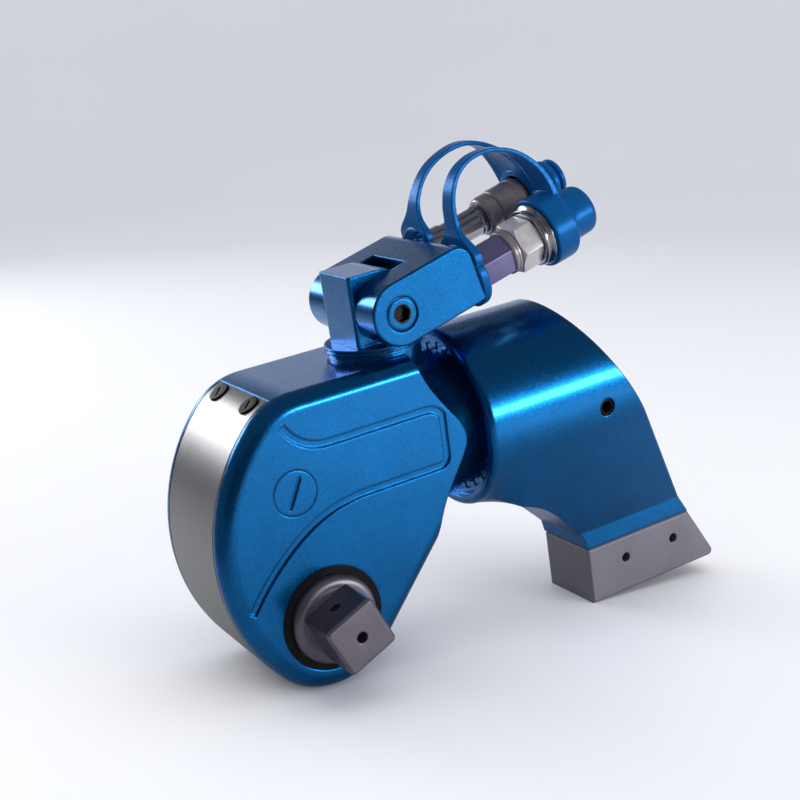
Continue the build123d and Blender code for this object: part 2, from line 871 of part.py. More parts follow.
pin_rest_x = lever_length * sin(radians(lever_lean))
pin_rest_height = lever_length * cos(radians(lever_lean))
eye_start = pin_rest_x - 11.0
eye_end = eye_start + rod_eye_length
with BuildPart() as rod:
    with BuildSketch(Plane.XZ):
        with Locations(((eye_start + eye_end) / 2, cylinder_height)):
            Rectangle(rod_eye_length, rod_eye_height)
    extrude(amount=rod_eye_width / 2, both=True)
    eye_corners = rod.edges().filter_by(across).filter_by_position(Axis.X, eye_start - 0.1, eye_start + 0.1)
    fillet(eye_corners, 6.0)
    with BuildSketch(Plane.XZ):
        with Locations((pin_rest_x, (pin_rest_height + lever_length) / 2)):
            SlotOverall(
                2 * rod_pin_radius + lever_length - pin_rest_height + 0.5,
                2 * rod_pin_radius + 0.2,
                rotation=90,
            )
    extrude(amount=rod_eye_width, both=True, mode=Mode.SUBTRACT)
    with BuildSketch(Plane.YZ.offset(eye_end)):
        with Locations((0, cylinder_height)):
            Circle(rod_radius)
    extrude(amount=piston_front - eye_end)
    with BuildSketch(Plane.YZ.offset(piston_front)):
        with Locations((0, cylinder_height)):
            Circle(spigot_radius)
    extrude(amount=piston_length - 1.0)
keep(rod.part, "piston_rod")

bush_start = cavity_rear + 4.0
rod_bore = rod_radius + running_gap
keep(tube(rod_bore, rod_bush_radius - 0.02, bush_start, bush_start + rod_bush_length), "rod_bush")
keep(
    tube(rod_bore, rod_bush_radius - 0.02, bush_start + rod_bush_length, bore_front - 0.1),
    "rod_seal",
)

with BuildPart() as end_cap:
    with BuildSketch(Plane.YZ.offset(cap_front)):
        with Locations((0, cylinder_height)):
            Circle(bore_radius - 0.05)
    extrude(amount=end_cap_length - 0.5)
    with BuildSketch(Plane.YZ.offset(cap_front + 3)):
        with Locations((0, cylinder_height)):
            Circle(bore_radius + 1)
            Circle(groove_floor, mode=Mode.SUBTRACT)
    extrude(amount=4.0, mode=Mode.SUBTRACT)
    with BuildSketch(Plane.YZ.offset(neck_end)):
        with Locations((-13, cylinder_height), (13, cylinder_height)):
            Circle(2.5)
    extrude(amount=-8.0, mode=Mode.SUBTRACT)
keep(end_cap.part, "cylinder_end_cap")
keep(tube(groove_floor + 0.02, bore_radius - 0.02, cap_front + 3.05, cap_front + 6.95), "end_cap_seal")

# Reaction arm: the sleeve round the neck and the leg down to the foot
rear_foot = rear_top + (sleeve_radius + cylinder_height - foot_top) * rear_slope
rear_sole = rear_foot + (foot_top - foot_bottom) * rear_slope
sleeve_low = cylinder_height - sleeve_radius
sleeve_high = cylinder_height + sleeve_radius
flange_top = foot_top + flange_height
arch_toe = (foot_front - arch_toe_run, foot_top + arch_toe_height)
arch_bend_x = arch_start + arch_run
reach = hypot(foot_width / 2, cylinder_height - flange_top)
touch = atan2(foot_width / 2, cylinder_height - flange_top) + radians(90) - asin(sleeve_radius / reach)
side_touch = (sleeve_radius * sin(touch), cylinder_height - sleeve_radius * cos(touch))
wedge_lean = (side_touch[0] - foot_width / 2) / (side_touch[1] - flange_top)
arch_half_width = foot_width / 2 + (arch_height - flange_top) * wedge_lean
arch_fall = radians(arch_slope)
arch_bend = (arch_bend_x, arch_toe[1] + (arch_toe[0] - arch_bend_x) * tan(arch_fall))
lip_end = sleeve_start + sleeve_lip


def sleeve_point(angle):
    """A point of the sleeve's outside in its own section, with 0 straight down."""
    return (sleeve_radius * sin(angle), cylinder_height - sleeve_radius * cos(angle))


def sleeve_over():
    """The upper arc of the sleeve between the lines where the leg's sides leave it."""
    return ThreePointArc(sleeve_point(touch), (0, sleeve_high), sleeve_point(-touch))


with BuildPart() as arm:
    # Leg, with tangent sides, an arch under it and a sloping rear
    with BuildSketch(Plane.YZ.offset(arch_start)):
        with BuildLine():
            sleeve_over()
            Polyline(
                sleeve_point(-touch),
                (-foot_width / 2, flange_top),
                (-foot_width / 2, foot_top),
                (foot_width / 2, foot_top),
                (foot_width / 2, flange_top),
                sleeve_point(touch),
            )
        make_face()
    extrude(amount=rear_sole - arch_start)
    with BuildSketch(Plane.XZ):
        with BuildLine():
            TangentArc(arch_bend, (arch_start, arch_height), tangent=(-cos(arch_fall), sin(arch_fall)))
            Polyline(
                arch_bend,
                arch_toe,
                (foot_front, foot_top),
                (rear_foot, foot_top),
                (rear_top - 5 * rear_slope, sleeve_high + 5),
                (arch_start, sleeve_high + 5),
                (arch_start, arch_height),
            )
        make_face()
    extrude(amount=sleeve_radius + 5, both=True, mode=Mode.INTERSECT)
    chamfer(arm.faces().sort_by(Axis.Z)[0].edges(), foot_joint_chamfer)
    # Sleeve, round at its lip and growing into the leg
    corner = asin(foot_width / 2 / sleeve_radius)
    with BuildSketch(Plane.YZ.offset(lip_end)):
        with BuildLine():
            sleeve_over()
            for turn_side in (-1, 1):
                ThreePointArc(
                    sleeve_point(turn_side * touch),
                    sleeve_point(turn_side * (touch + corner) / 2),
                    sleeve_point(turn_side * corner),
                )
            ThreePointArc(sleeve_point(-corner), (0, sleeve_low), sleeve_point(corner))
        make_face()
    with BuildSketch(Plane.YZ.offset(arch_start)):
        with BuildLine():
            sleeve_over()
            for turn_side in (-1, 1):
                Line(sleeve_point(turn_side * touch), (turn_side * arch_half_width, arch_height))
            Line((-arch_half_width, arch_height), (arch_half_width, arch_height))
        make_face()
    loft(ruled=True)
    with BuildSketch(Plane.YZ.offset(sleeve_start)):
        with Locations((0, cylinder_height)):
            Circle(sleeve_radius)
    extrude(amount=sleeve_lip)
    rim = arm.edges().filter_by(GeomType.CIRCLE).filter_by_position(Axis.X, sleeve_start - 0.1, sleeve_start + 0.1)
    fillet(rim, sleeve_edge_round)
    with BuildSketch(Plane.YZ.offset(sleeve_start)):
        with Locations((0, cylinder_height)):
            Circle(neck_radius + 0.4)
    extrude(amount=rear_sole, mode=Mode.SUBTRACT)
    with BuildSketch(Plane.YZ.offset(sleeve_start)):
        with Locations((0, cylinder_height)):
            Circle(sleeve_radius - sleeve_rim)
    extrude(amount=spline_start - 0.4 - sleeve_start, mode=Mode.SUBTRACT)
    with BuildSketch(Plane.YZ.offset(sleeve_start)):
        with Locations((0, cylinder_height)):
            with PolarLocations((neck_radius + spline_tip + 0.3) / 2 - 0.5, spline_count):
                Rectangle(spline_tip + 0.3 - neck_radius + 1.0, spline_tooth + 0.2)
    extrude(amount=spline_end + 1.5 - sleeve_start, mode=Mode.SUBTRACT)
    with BuildSketch(side(-sleeve_radius - 1)):
        with Locations((lock_screw_x, lock_screw_height)):
            Circle(lock_screw_radius + 0.1)
    extrude(amount=-(sleeve_radius + 1), mode=Mode.SUBTRACT)
    with BuildSketch(Plane.XY.offset(foot_top)):
        with Locations((foot_front + 11.3, 0), (foot_front + 39.3, 0)):
            Circle(foot_screw_radius + 0.05)
    extrude(amount=14.0, mode=Mode.SUBTRACT)
keep(arm.part, "reaction_arm")

with BuildPart() as lock_screw:
    with BuildSketch(side(-sleeve_radius + 0.8)):
        with Locations((lock_screw_x, lock_screw_height)):
            Circle(lock_screw_radius)
    extrude(amount=-10.0)
    chamfer(lock_screw.faces().sort_by(across)[0].edges(), 0.6)
    with BuildSketch(side(-sleeve_radius + 0.8)):
        with Locations((lock_screw_x, lock_screw_height)):
            RegularPolygon(2.6, 6, major_radius=False)
    extrude(amount=-4.0, mode=Mode.SUBTRACT)
keep(lock_screw.part, "arm_lock_screw")

with BuildPart() as foot:
    with BuildSketch(Plane.XZ):
        with BuildLine():
            Polyline(
                (foot_front, foot_top),
                (rear_foot, foot_top),
                (rear_sole, foot_bottom),
                (foot_front, foot_bottom),
                close=True,
            )
        make_face()
    extrude(amount=foot_width / 2, both=True)
    heel = foot.edges().filter_by(across).sort_by_distance((rear_sole, 0, foot_bottom))[0]
    fillet(heel, 2.5)
    chamfer(foot.faces().filter_by(across).edges(), 0.8)
    with BuildSketch(side(-foot_width)):
        with Locations(
            (foot_hole_near, foot_hole_height),
            (foot_hole_near + foot_hole_pitch, foot_hole_height),
        ):
            Circle(foot_hole_radius)
    extrude(amount=-2 * foot_width, mode=Mode.SUBTRACT)
    with BuildSketch(Plane.XY.offset(foot_bottom)):
        with Locations((foot_front + 11.3, 0), (foot_front + 39.3, 0)):
            Circle(foot_screw_radius + 0.2)
    extrude(amount=foot_top - foot_bottom, mode=Mode.SUBTRACT)
    with BuildSketch(Plane.XY.offset(foot_bottom)):
        with Locations((foot_front + 11.3, 0), (foot_front + 39.3, 0)):
            Circle(6.8)
    extrude(amount=10.0, mode=Mode.SUBTRACT)
keep(foot.part, "reaction_foot")

with BuildPart() as foot_screws:
    with BuildSketch(Plane.XY.offset(foot_bottom + 2)):
        with Locations((foot_front + 11.3, 0), (foot_front + 39.3, 0)):
            Circle(6.5)
    extrude(amount=8.0)
    with BuildSketch(Plane.XY.offset(foot_bottom + 9)):
        with Locations((foot_front + 11.3, 0), (foot_front + 39.3, 0)):
            Circle(foot_screw_radius)
    extrude(amount=foot_top + 13.0 - foot_bottom - 9)
    with BuildSketch(Plane.XY.offset(foot_bottom + 2)):
        with Locations((foot_front + 11.3, 0), (foot_front + 39.3, 0)):
            RegularPolygon(3.0, 6, major_radius=False)
    extrude(amount=4.0, mode=Mode.SUBTRACT)
keep(foot_screws.part, "foot_screws")

# Swivel post: flange, stem in the head and tongue between the fork's ears
seal_low = post_stem_bottom + 3.0
seal_high = post_stem_bottom + 13.5
with BuildPart() as post:
    with BuildSketch(Plane.XY.offset(post_stem_bottom)):
        with Locations((swivel_x, 0)):
            Circle(post_stem_radius)
    extrude(amount=boss_top + 0.3 - post_stem_bottom)
    for height, depth in ((seal_low, 2.0), (seal_high, 2.0), ((seal_low + seal_high) / 2, 1.2)):
        with BuildSketch(Plane.XY.offset(height)):
            with Locations((swivel_x, 0)):
                Circle(post_stem_radius + 1)
                Circle(post_stem_radius - depth, mode=Mode.SUBTRACT)
        extrude(amount=2.6, mode=Mode.SUBTRACT)
    with BuildSketch(Plane.XY.offset(boss_top + 0.2)):
        with Locations((swivel_x, 0)):
            Circle(post_flange_radius)
    extrude(amount=post_flange_top - boss_top - 0.2)
    with BuildSketch(Plane.XY.offset(boss_top + 1.2)):
        with Locations((swivel_x, 0)):
            Circle(post_flange_radius + 1)
            Circle(post_flange_radius - 0.7, mode=Mode.SUBTRACT)
    extrude(amount=0.8, mode=Mode.SUBTRACT)
    with BuildSketch(Plane.XZ):
        with BuildLine():
            arc_drop = pivot_height - post_flange_top + 0.5
            arc_foot = swivel_x + sqrt(tongue_round**2 - arc_drop**2)
            ThreePointArc(
                (swivel_x, pivot_height + tongue_round),
                (swivel_x + tongue_round, pivot_height),
                (arc_foot, pivot_height - arc_drop),
            )
            Polyline(
                (arc_foot, pivot_height - arc_drop),
                (swivel_x - tongue_left, pivot_height - arc_drop),
                (swivel_x - tongue_left, pivot_height + tongue_top),
                (swivel_x, pivot_height + tongue_round),
            )
        make_face()
    extrude(amount=tongue_half_width, both=True)
    left_edges = post.edges().filter_by(Axis.Z).filter_by_position(
        Axis.X, swivel_x - tongue_left - 0.1, swivel_x - tongue_left + 0.1
    )
    fillet(left_edges, 1.5)
    with BuildSketch(side(-tongue_half_width)):
        with Locations((swivel_x, pivot_height)):
            Circle(pivot_shank_radius + running_gap)
    extrude(amount=-2 * tongue_half_width, mode=Mode.SUBTRACT)
    with BuildSketch(Plane.XY.offset(post_stem_bottom)):
        with Locations((swivel_x - 5, 0), (swivel_x + 5, 0)):
            Circle(1.6)
    extrude(amount=pivot_height - post_stem_bottom, mode=Mode.SUBTRACT)
keep(post.part, "swivel_post")

with BuildPart() as post_seals:
    for height in (seal_low, seal_high):
        with BuildSketch(Plane.XY.offset(height + 0.05)):
            with Locations((swivel_x, 0)):
                Circle(post_stem_radius)
                Circle(post_stem_radius - 1.98, mode=Mode.SUBTRACT)
        extrude(amount=2.5)
keep(post_seals.part, "post_seals")

with BuildPart() as post_ring:
    with BuildSketch(Plane.XY.offset((seal_low + seal_high) / 2 + 0.1)):
        with Locations((swivel_x, 0)):
            Circle(post_stem_radius)
            Circle(post_stem_radius - 1.18, mode=Mode.SUBTRACT)
            with Locations((post_stem_radius, 0)):
                Rectangle(6.0, 5.0, mode=Mode.SUBTRACT)
    extrude(amount=2.4)
keep(post_ring.part, "post_retaining_ring")

# The fork block and all on it are drawn about the pivot and pitched into place
block_place = Location((swivel_x, 0, pivot_height)) * Rot(0, -block_pitch, 0)
ports = (
    (near_port_y, near_port_height),
    (far_port_y, far_port_height),
)
with BuildPart() as block:
    with BuildSketch(Plane.XZ):
        Circle(ear_radius)
        with Locations((block_length / 2, 0)):
            Rectangle(block_length, 2 * ear_radius)
    extrude(amount=block_half_width, both=True)
    rear_edges = block.edges().filter_by(across).filter_by_position(Axis.X, block_length - 0.1, block_length + 0.1)
    fillet(rear_edges.sort_by(Axis.Z)[-1], block_rear_round)
    fillet(rear_edges.sort_by(Axis.Z)[0], 2.0)
    chamfer(block.faces().filter_by(across).edges(), 0.7)
    with BuildSketch(Plane.XY):
        with Locations((fork_depth / 2 - ear_radius, 0)):
            Rectangle(fork_depth + 2 * ear_radius, 2 * fork_half_gap)
    extrude(amount=ear_radius + 1, both=True, mode=Mode.SUBTRACT)
    with BuildSketch(side(-block_half_width - 1)):
        Circle(pivot_shank_radius + running_gap)
    extrude(amount=-2 * block_half_width - 2, mode=Mode.SUBTRACT)
    for start in (-block_half_width, block_half_width - pivot_head_length):
        with BuildSketch(side(start)):
            Circle(pivot_head_radius + 0.2)
        extrude(amount=-pivot_head_length, mode=Mode.SUBTRACT)
    with BuildSketch(Plane.YZ.offset(block_length)):
        with Locations(*ports):
            Circle(port_radius + 0.02)
    extrude(amount=-port_depth, mode=Mode.SUBTRACT)
keep(block.part, "swivel_block", block_place)

with BuildPart() as pivot_bolts:
    for direction in (-1, 1):
        with BuildSketch(side(direction * block_half_width)):
            Circle(pivot_head_radius)
        extrude(amount=direction * (pivot_head_length - 0.05))
        with BuildSketch(side(direction * (block_half_width - 1))):
            Circle(pivot_shank_radius)
        extrude(amount=direction * (block_half_width - 3))
        with BuildSketch(side(direction * block_half_width)):
            RegularPolygon(pivot_key / 2, 6, major_radius=False)
        extrude(amount=direction * 3.2, mode=Mode.SUBTRACT)
        with BuildSketch(side(direction * (block_half_width + 0.5))):
            Circle(pivot_head_radius + 1)
            Circle(pivot_head_radius - 0.9, mode=Mode.SUBTRACT)
        extrude(amount=direction * 1.1, mode=Mode.SUBTRACT)
        with BuildSketch(side(direction * 9.0)):
            Circle(pivot_shank_radius + 1)
            Circle(pivot_shank_radius - 1.0, mode=Mode.SUBTRACT)
        extrude(amount=direction * 2.0, mode=Mode.SUBTRACT)
keep(pivot_bolts.part, "pivot_bolts", block_place)
with BuildPart() as pivot_seals:
    for direction in (-1, 1):
        with BuildSketch(side(direction * 8.95)):
            Circle(pivot_shank_radius)
            Circle(pivot_shank_radius - 0.98, mode=Mode.SUBTRACT)
        extrude(amount=direction * 1.9)
keep(pivot_seals.part, "pivot_seals", block_place)


def stack(steps, port, bore=0.0, bore_start=0.0, bore_end=0.0):
    """A stepped piece on a port's axis, from (start, end, radius, turn) steps, round where turn is None."""
    with BuildPart() as body:
        for start, end, radius, hexagon_turn in steps:
            with BuildSketch(Plane.YZ.offset(start)):
                with Locations(port):
                    if hexagon_turn is None:
                        Circle(radius)
                    else:
                        RegularPolygon(radius, 6, major_radius=False, rotation=hexagon_turn)
            extrude(amount=end - start)
        if bore > 0:
            with BuildSketch(Plane.YZ.offset(bore_start)):
                with Locations(port):
                    Circle(bore)
            extrude(amount=bore_end - bore_start, mode=Mode.SUBTRACT)
    return body.part


near_port, far_port = ports
ring_start = block_length + 0.3
ring_end = ring_start + strap_ring_thickness
thread_start = block_length - port_depth + 1.0
hex_start = ring_end + 0.2
collar_at = hex_start + near_hex_length
nut_start = collar_at + collar_length
sleeve_start_at = nut_start + nut_length
sleeve_end = sleeve_start_at + sleeve_length
near_mouth = sleeve_start_at + sleeve_ring_length + cap_gap
near_shoulder = near_mouth + near_cap_length
near_end = near_shoulder + near_nose_length
far_body_start = block_length + far_adaptor_length
far_body_end = far_body_start + far_body_length
far_mouth = far_body_end + cap_gap
far_shoulder = far_mouth + far_cap_length
far_end = far_shoulder + far_nose_length
far_spigot_end = far_body_end + far_spigot_length
keep(
    stack(
        (
            (thread_start, ring_start - 0.1, port_radius, None),
            (ring_start - 0.1, hex_start, near_spigot, None),
            (hex_start, collar_at, near_hex / 2, near_hex_turn),
            (collar_at, nut_start + 3.5, near_spigot, None),
        ),
        near_port,
        3.0,
        thread_start,
        nut_start + 3.5,
    ),
    "near_adaptor",
    block_place,
)
keep(
    stack(((collar_at, nut_start, collar_size, None),), near_port, near_spigot + 0.05, collar_at, nut_start),
    "near_collar",
    block_place,
)
keep(
    stack(
        (
            (nut_start, sleeve_start_at, nut_hex / 2, nut_turn),
            (sleeve_start_at, sleeve_end, collar_size, None),
        ),
        near_port,
        near_spigot + 0.05,
        nut_start,
        sleeve_end,
    ),
    "near_coupler_nut",
    block_place,
)
keep(
    stack(
        (
            (sleeve_start_at + 0.05, sleeve_start_at + sleeve_ring_length, sleeve_ring_radius, None),
            (sleeve_start_at + sleeve_ring_length, sleeve_end, sleeve_radius_inside, None),
        ),
        near_port,
        collar_size + 0.05,
        sleeve_start_at + 0.05,
        sleeve_end,
    ),
    "near_coupler_sleeve",
    block_place,
)
keep(
    stack(
        (
            (thread_start, ring_start - 0.1, port_radius, None),
            (ring_start - 0.1, far_body_start + 3.0, far_adaptor_radius, None),
        ),
        far_port,
        3.0,
        thread_start,
        far_body_start + 3.0,
    ),
    "far_adaptor",
    block_place,
)
keep(
    stack(
        (
            (far_body_start, far_body_end, far_body_radius, None),
            (far_body_end, far_spigot_end, far_spigot_radius, None),
        ),
        far_port,
        far_adaptor_radius + 0.05,
        far_body_start,
        far_spigot_end,
    ),
    "far_coupler_body",
    block_place,
)


def cap(mouth, shoulder, end, outer, nose, inner, port):
    """A moulded dust cap, open towards the block."""
    with BuildPart() as body:
        with BuildSketch(Plane.YZ.offset(mouth)):
            with Locations(port):
                Circle(outer)
        extrude(amount=shoulder - mouth)
        with BuildSketch(Plane.YZ.offset(shoulder)):
            with Locations(port):
                Circle(nose)
        extrude(amount=end - shoulder)
        fillet(body.faces().sort_by(Axis.X)[-1].edges(), 1.5)
        with BuildSketch(Plane.YZ.offset(mouth)):
            with Locations(port):
                Circle(inner)
        extrude(amount=shoulder - cap_wall - mouth, mode=Mode.SUBTRACT)
        with BuildSketch(Plane.YZ.offset(shoulder - cap_wall)):
            with Locations(port):
                Circle(nose - cap_wall - 1.0)
        extrude(amount=end - shoulder, mode=Mode.SUBTRACT)
    return body.part


for name, mouth, shoulder, end, outer, nose, plug, port in (
    ("near_cap", near_mouth, near_shoulder, near_end, near_cap_radius, near_cap_nose, sleeve_radius_inside, near_port),
    ("far_cap", far_mouth, far_shoulder, far_end, far_cap_radius, far_cap_nose, far_spigot_radius, far_port),
):
    keep(cap(mouth, shoulder, end, outer, nose, plug + free_gap, port), name, block_place)


def strap(route, port, ring_outer, ring_inner):
    """A cap's strap: a ring round the coupler at the block and a band over to the cap."""
    with BuildPart() as body:
        with BuildSketch(Plane.XZ.offset(-port[0])):
            with BuildLine():
                Spline(*route)
            trace(line_width=strap_thickness)
        extrude(amount=strap_width / 2, both=True)
        with BuildSketch(Plane.YZ.offset(ring_start)):
            with Locations(port):
                Circle(ring_outer)
        extrude(amount=strap_ring_thickness)
        with BuildSketch(Plane.YZ.offset(ring_start)):
            with Locations(port):
                Circle(ring_inner)
        extrude(amount=strap_ring_thickness + 5, mode=Mode.SUBTRACT)
    return body.part


near_route = ((43.6, 5.5), (46, 25), (51, 35.5), (60.5, 41.2), (70, 42), (82, 37.8), (93, 28), (102.5, 14.8), (106.5, 7.7))
far_route = ((43.6, 13.5), (48, 25.2), (54.2, 33.4), (61.7, 38.5), (71.7, 41.9), (81.7, 42.3), (92, 38.3), (101.5, 29.5), (109.5, 19.6))
keep(strap(near_route, near_port, near_strap_ring, near_spigot + 0.3), "near_strap", block_place)
keep(strap(far_route, far_port, far_strap_ring, far_adaptor_radius + 0.3), "far_strap", block_place)

# Stand the tool on its heel and its foot, centred over the origin
stance_angle = degrees(atan2(-foot_bottom, foot_front) - asin(heel_radius / hypot(foot_front, foot_bottom)))
turn = Rot(0, -stance_angle, 0)
stood = [piece.moved(turn) for piece in ready]
boxes = [piece.bounding_box() for piece in stood]
middle_x = (min(box.min.X for box in boxes) + max(box.max.X for box in boxes)) / 2
middle_y = (min(box.min.Y for box in boxes) + max(box.max.Y for box in boxes)) / 2
lowest = min(box.min.Z for box in boxes)
stance = Location((-middle_x, -middle_y, -lowest)) * turn

os.makedirs("parts", exist_ok=True)
for piece in ready:
    placed = piece.moved(stance)
    placed.label = piece.label
    export_step(placed, "parts/" + piece.label + ".step")
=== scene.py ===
import json
import math

import bpy
from bpy.props import FloatProperty, FloatVectorProperty, PointerProperty
from mathutils import Matrix, Vector


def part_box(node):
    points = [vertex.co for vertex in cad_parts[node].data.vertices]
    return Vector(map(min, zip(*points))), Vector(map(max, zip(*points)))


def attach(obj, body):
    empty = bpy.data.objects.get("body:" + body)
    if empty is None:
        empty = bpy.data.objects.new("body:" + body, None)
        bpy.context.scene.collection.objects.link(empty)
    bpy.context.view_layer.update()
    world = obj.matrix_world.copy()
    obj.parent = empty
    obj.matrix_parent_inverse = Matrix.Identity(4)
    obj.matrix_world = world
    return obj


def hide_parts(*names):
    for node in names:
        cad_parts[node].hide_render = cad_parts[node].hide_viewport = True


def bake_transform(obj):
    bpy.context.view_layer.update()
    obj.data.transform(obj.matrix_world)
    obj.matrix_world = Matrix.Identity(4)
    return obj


bl_info = {
    "name": "Hydraulic torque wrench dressing",
    "version": (1, 0, 0),
    "blender": (4, 5, 0),
    "location": "View3D > Sidebar > Torque wrench",
    "description": "Paint, plating, dust caps and stage for the torque wrench",
    "category": "Object",
}

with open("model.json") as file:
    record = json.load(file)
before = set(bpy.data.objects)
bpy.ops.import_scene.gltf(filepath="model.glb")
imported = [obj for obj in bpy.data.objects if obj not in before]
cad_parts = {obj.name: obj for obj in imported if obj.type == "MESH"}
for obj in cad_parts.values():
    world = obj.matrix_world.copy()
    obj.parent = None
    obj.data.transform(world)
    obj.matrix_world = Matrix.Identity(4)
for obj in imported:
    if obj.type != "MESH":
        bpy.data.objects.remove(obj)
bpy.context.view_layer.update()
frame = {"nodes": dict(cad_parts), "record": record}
record = frame["record"]
joints = {joint["name"]: joint for joint in record["behaviour"]["joints"]}
finish_of = {entry["node"]: entry["material_slot"] for entry in record["subparts"]}

# The fork block's own axes: along to the couplers, across the tool, and up off the block
pivot = Vector(joints["swivel_tilt"]["pos_m"])
along = Vector(joints["near_cap_pull"]["axis"]).normalized()
across = Vector((0, 1, 0))
upward = along.cross(across)
drive_axis = Vector(joints["drive_spin"]["pos_m"])


def mm(*values):
    """Millimetres as metres."""
    if len(values) == 1:
        return values[0] / 1000
    return tuple(value / 1000 for value in values)


def placed(x, y, z, origin):
    """The matrix of a piece with these axes at this origin."""
    return Matrix((*zip(x, y, z, origin), (0, 0, 0, 1)))


def port_matrix(point):
    """A place on a port's axis: X across the tool, Y up off the block and Z to the coupler."""
    centre = Vector(point) - pivot
    origin = pivot + across * centre.dot(across) + upward * centre.dot(upward)
    return placed(across, upward, along, origin)


near_port = port_matrix(joints["coupling_sleeve_spin"]["pos_m"])
far_low, far_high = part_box("far_coupler_body")
far_port = port_matrix((Vector(far_low) + Vector(far_high)) / 2)


# Finishes


made = {}  # the materials of this file, by name
paint_edge = mm(1.4)  # how far the paint's light runs round an edge
steel_edge = mm(0.9)
shaded_hole_radius = mm(4.4)  # painted shade of a counterbore over a dark screw, in the middle of a pivot bolt
# Painted shade: the near-black disc of a pivot bolt, for a shaded counterbore with a dark screw in it
hole_shade_dark = (0.010, 0.008, 0.008)
hole_shade_light = (0.022, 0.018, 0.016)


class Finish:
    """A node material in the making: the shader, its coordinates and short ways to add patterns."""

    def __init__(self, name):
        self.material = bpy.data.materials.new(name)
        self.material.use_nodes = True
        made[name] = self.material
        self.tree = self.material.node_tree
        self.shader = self.tree.nodes["Principled BSDF"]
        self.place = self.tree.nodes.new("ShaderNodeTexCoord").outputs["Object"]

    def set(self, **values):
        """Values that are the same all over, on the shader's own sockets."""
        names = {
            "metallic": "Metallic",
            "roughness": "Roughness",
            "coat": "Coat Weight",
            "coat_roughness": "Coat Roughness",
            "specular": "Specular IOR Level",
        }
        for key, value in values.items():
            self.shader.inputs[names[key]].default_value = value

    def stretched(self, scale):
        """The object's coordinates, scaled apart along each axis."""
        node = self.tree.nodes.new("ShaderNodeMapping")
        node.inputs["Scale"].default_value = scale
        self.tree.links.new(self.place, node.inputs["Vector"])
        return node.outputs["Vector"]

    def noise(self, scale, detail=3.0, rough=0.5, vector=None):
        node = self.tree.nodes.new("ShaderNodeTexNoise")
        node.inputs["Scale"].default_value = scale
        node.inputs["Detail"].default_value = detail
        node.inputs["Roughness"].default_value = rough
        self.tree.links.new(vector or self.place, node.inputs["Vector"])
        return node.outputs["Fac"]

    def cells(self, scale, output="Color"):
        node = self.tree.nodes.new("ShaderNodeTexVoronoi")
        node.inputs["Scale"].default_value = scale
        self.tree.links.new(self.place, node.inputs["Vector"])
        return node.outputs[output]

    def within(self, centre, axis, radius):
        """1 inside a radius round a line, 0 outside it."""
        offset = self.vector_math("SUBTRACT", self.place, centre)
        reach = self.vector_math("LENGTH", self.vector_math("CROSS_PRODUCT", offset, axis))
        inside = self.tree.nodes.new("ShaderNodeMath")
        inside.operation = "LESS_THAN"
        inside.inputs[1].default_value = radius
        self.tree.links.new(reach, inside.inputs[0])
        return inside.outputs["Value"]

    def spread(self, source, low, high):
        """0 where the source is low, 1 where it is high."""
        node = self.tree.nodes.new("ShaderNodeMapRange")
        node.inputs["From Min"].default_value = low
        node.inputs["From Max"].default_value = high
        self.tree.links.new(source, node.inputs["Value"])
        return node.outputs["Result"]

    def vector_math(self, operation, source, other=None):
        """One step of vector arithmetic; the result is a number for LENGTH and else a vector."""
        node = self.tree.nodes.new("ShaderNodeVectorMath")
        node.operation = operation
        self.tree.links.new(source, node.inputs[0])
        if other is not None:
            node.inputs[1].default_value = other
        return node.outputs["Value" if operation == "LENGTH" else "Vector"]

    def ramp(self, source, low, high, first, second):
        node = self.tree.nodes.new("ShaderNodeValToRGB")
        node.color_ramp.elements[0].position = low
        node.color_ramp.elements[1].position = high
        for element, value in zip(node.color_ramp.elements, (first, second)):
            element.color = (*value, 1.0) if isinstance(value, tuple) else (value, value, value, 1.0)
        self.tree.links.new(source, node.inputs["Fac"])
        return node.outputs["Color"]

    def blend(self, factor, first, second, mode="MIX"):
        node = self.tree.nodes.new("ShaderNodeMix")
        node.data_type = "RGBA"
        node.blend_type = mode
        if isinstance(factor, float):
            node.inputs["Factor"].default_value = factor
        else:
            self.tree.links.new(factor, node.inputs["Factor"])
        self.tree.links.new(first, node.inputs["A"])
        self.tree.links.new(second, node.inputs["B"])
        return node.outputs["Result"]

    def color(self, source):
        self.tree.links.new(source, self.shader.inputs["Base Color"])

    def rough(self, source):
        self.tree.links.new(source, self.shader.inputs["Roughness"])

    def edges(self, radius):
        """Normals that round the sharp edges a little, so that they catch the light."""
        node = self.tree.nodes.new("ShaderNodeBevel")
        node.samples = 6
        node.inputs["Radius"].default_value = radius
        return node.outputs["Normal"]

    def bump(self, source, height, strength=1.0, after=None):
        node = self.tree.nodes.new("ShaderNodeBump")
        node.inputs["Distance"].default_value = height
        node.inputs["Strength"].default_value = strength
        self.tree.links.new(source, node.inputs["Height"])
        if after is not None:
            self.tree.links.new(after, node.inputs["Normal"])
        self.tree.links.new(node.outputs["Normal"], self.shader.inputs["Normal"])
        return node.outputs["Normal"]


def dimmed(color, share):
    return tuple(channel * share for channel in color)


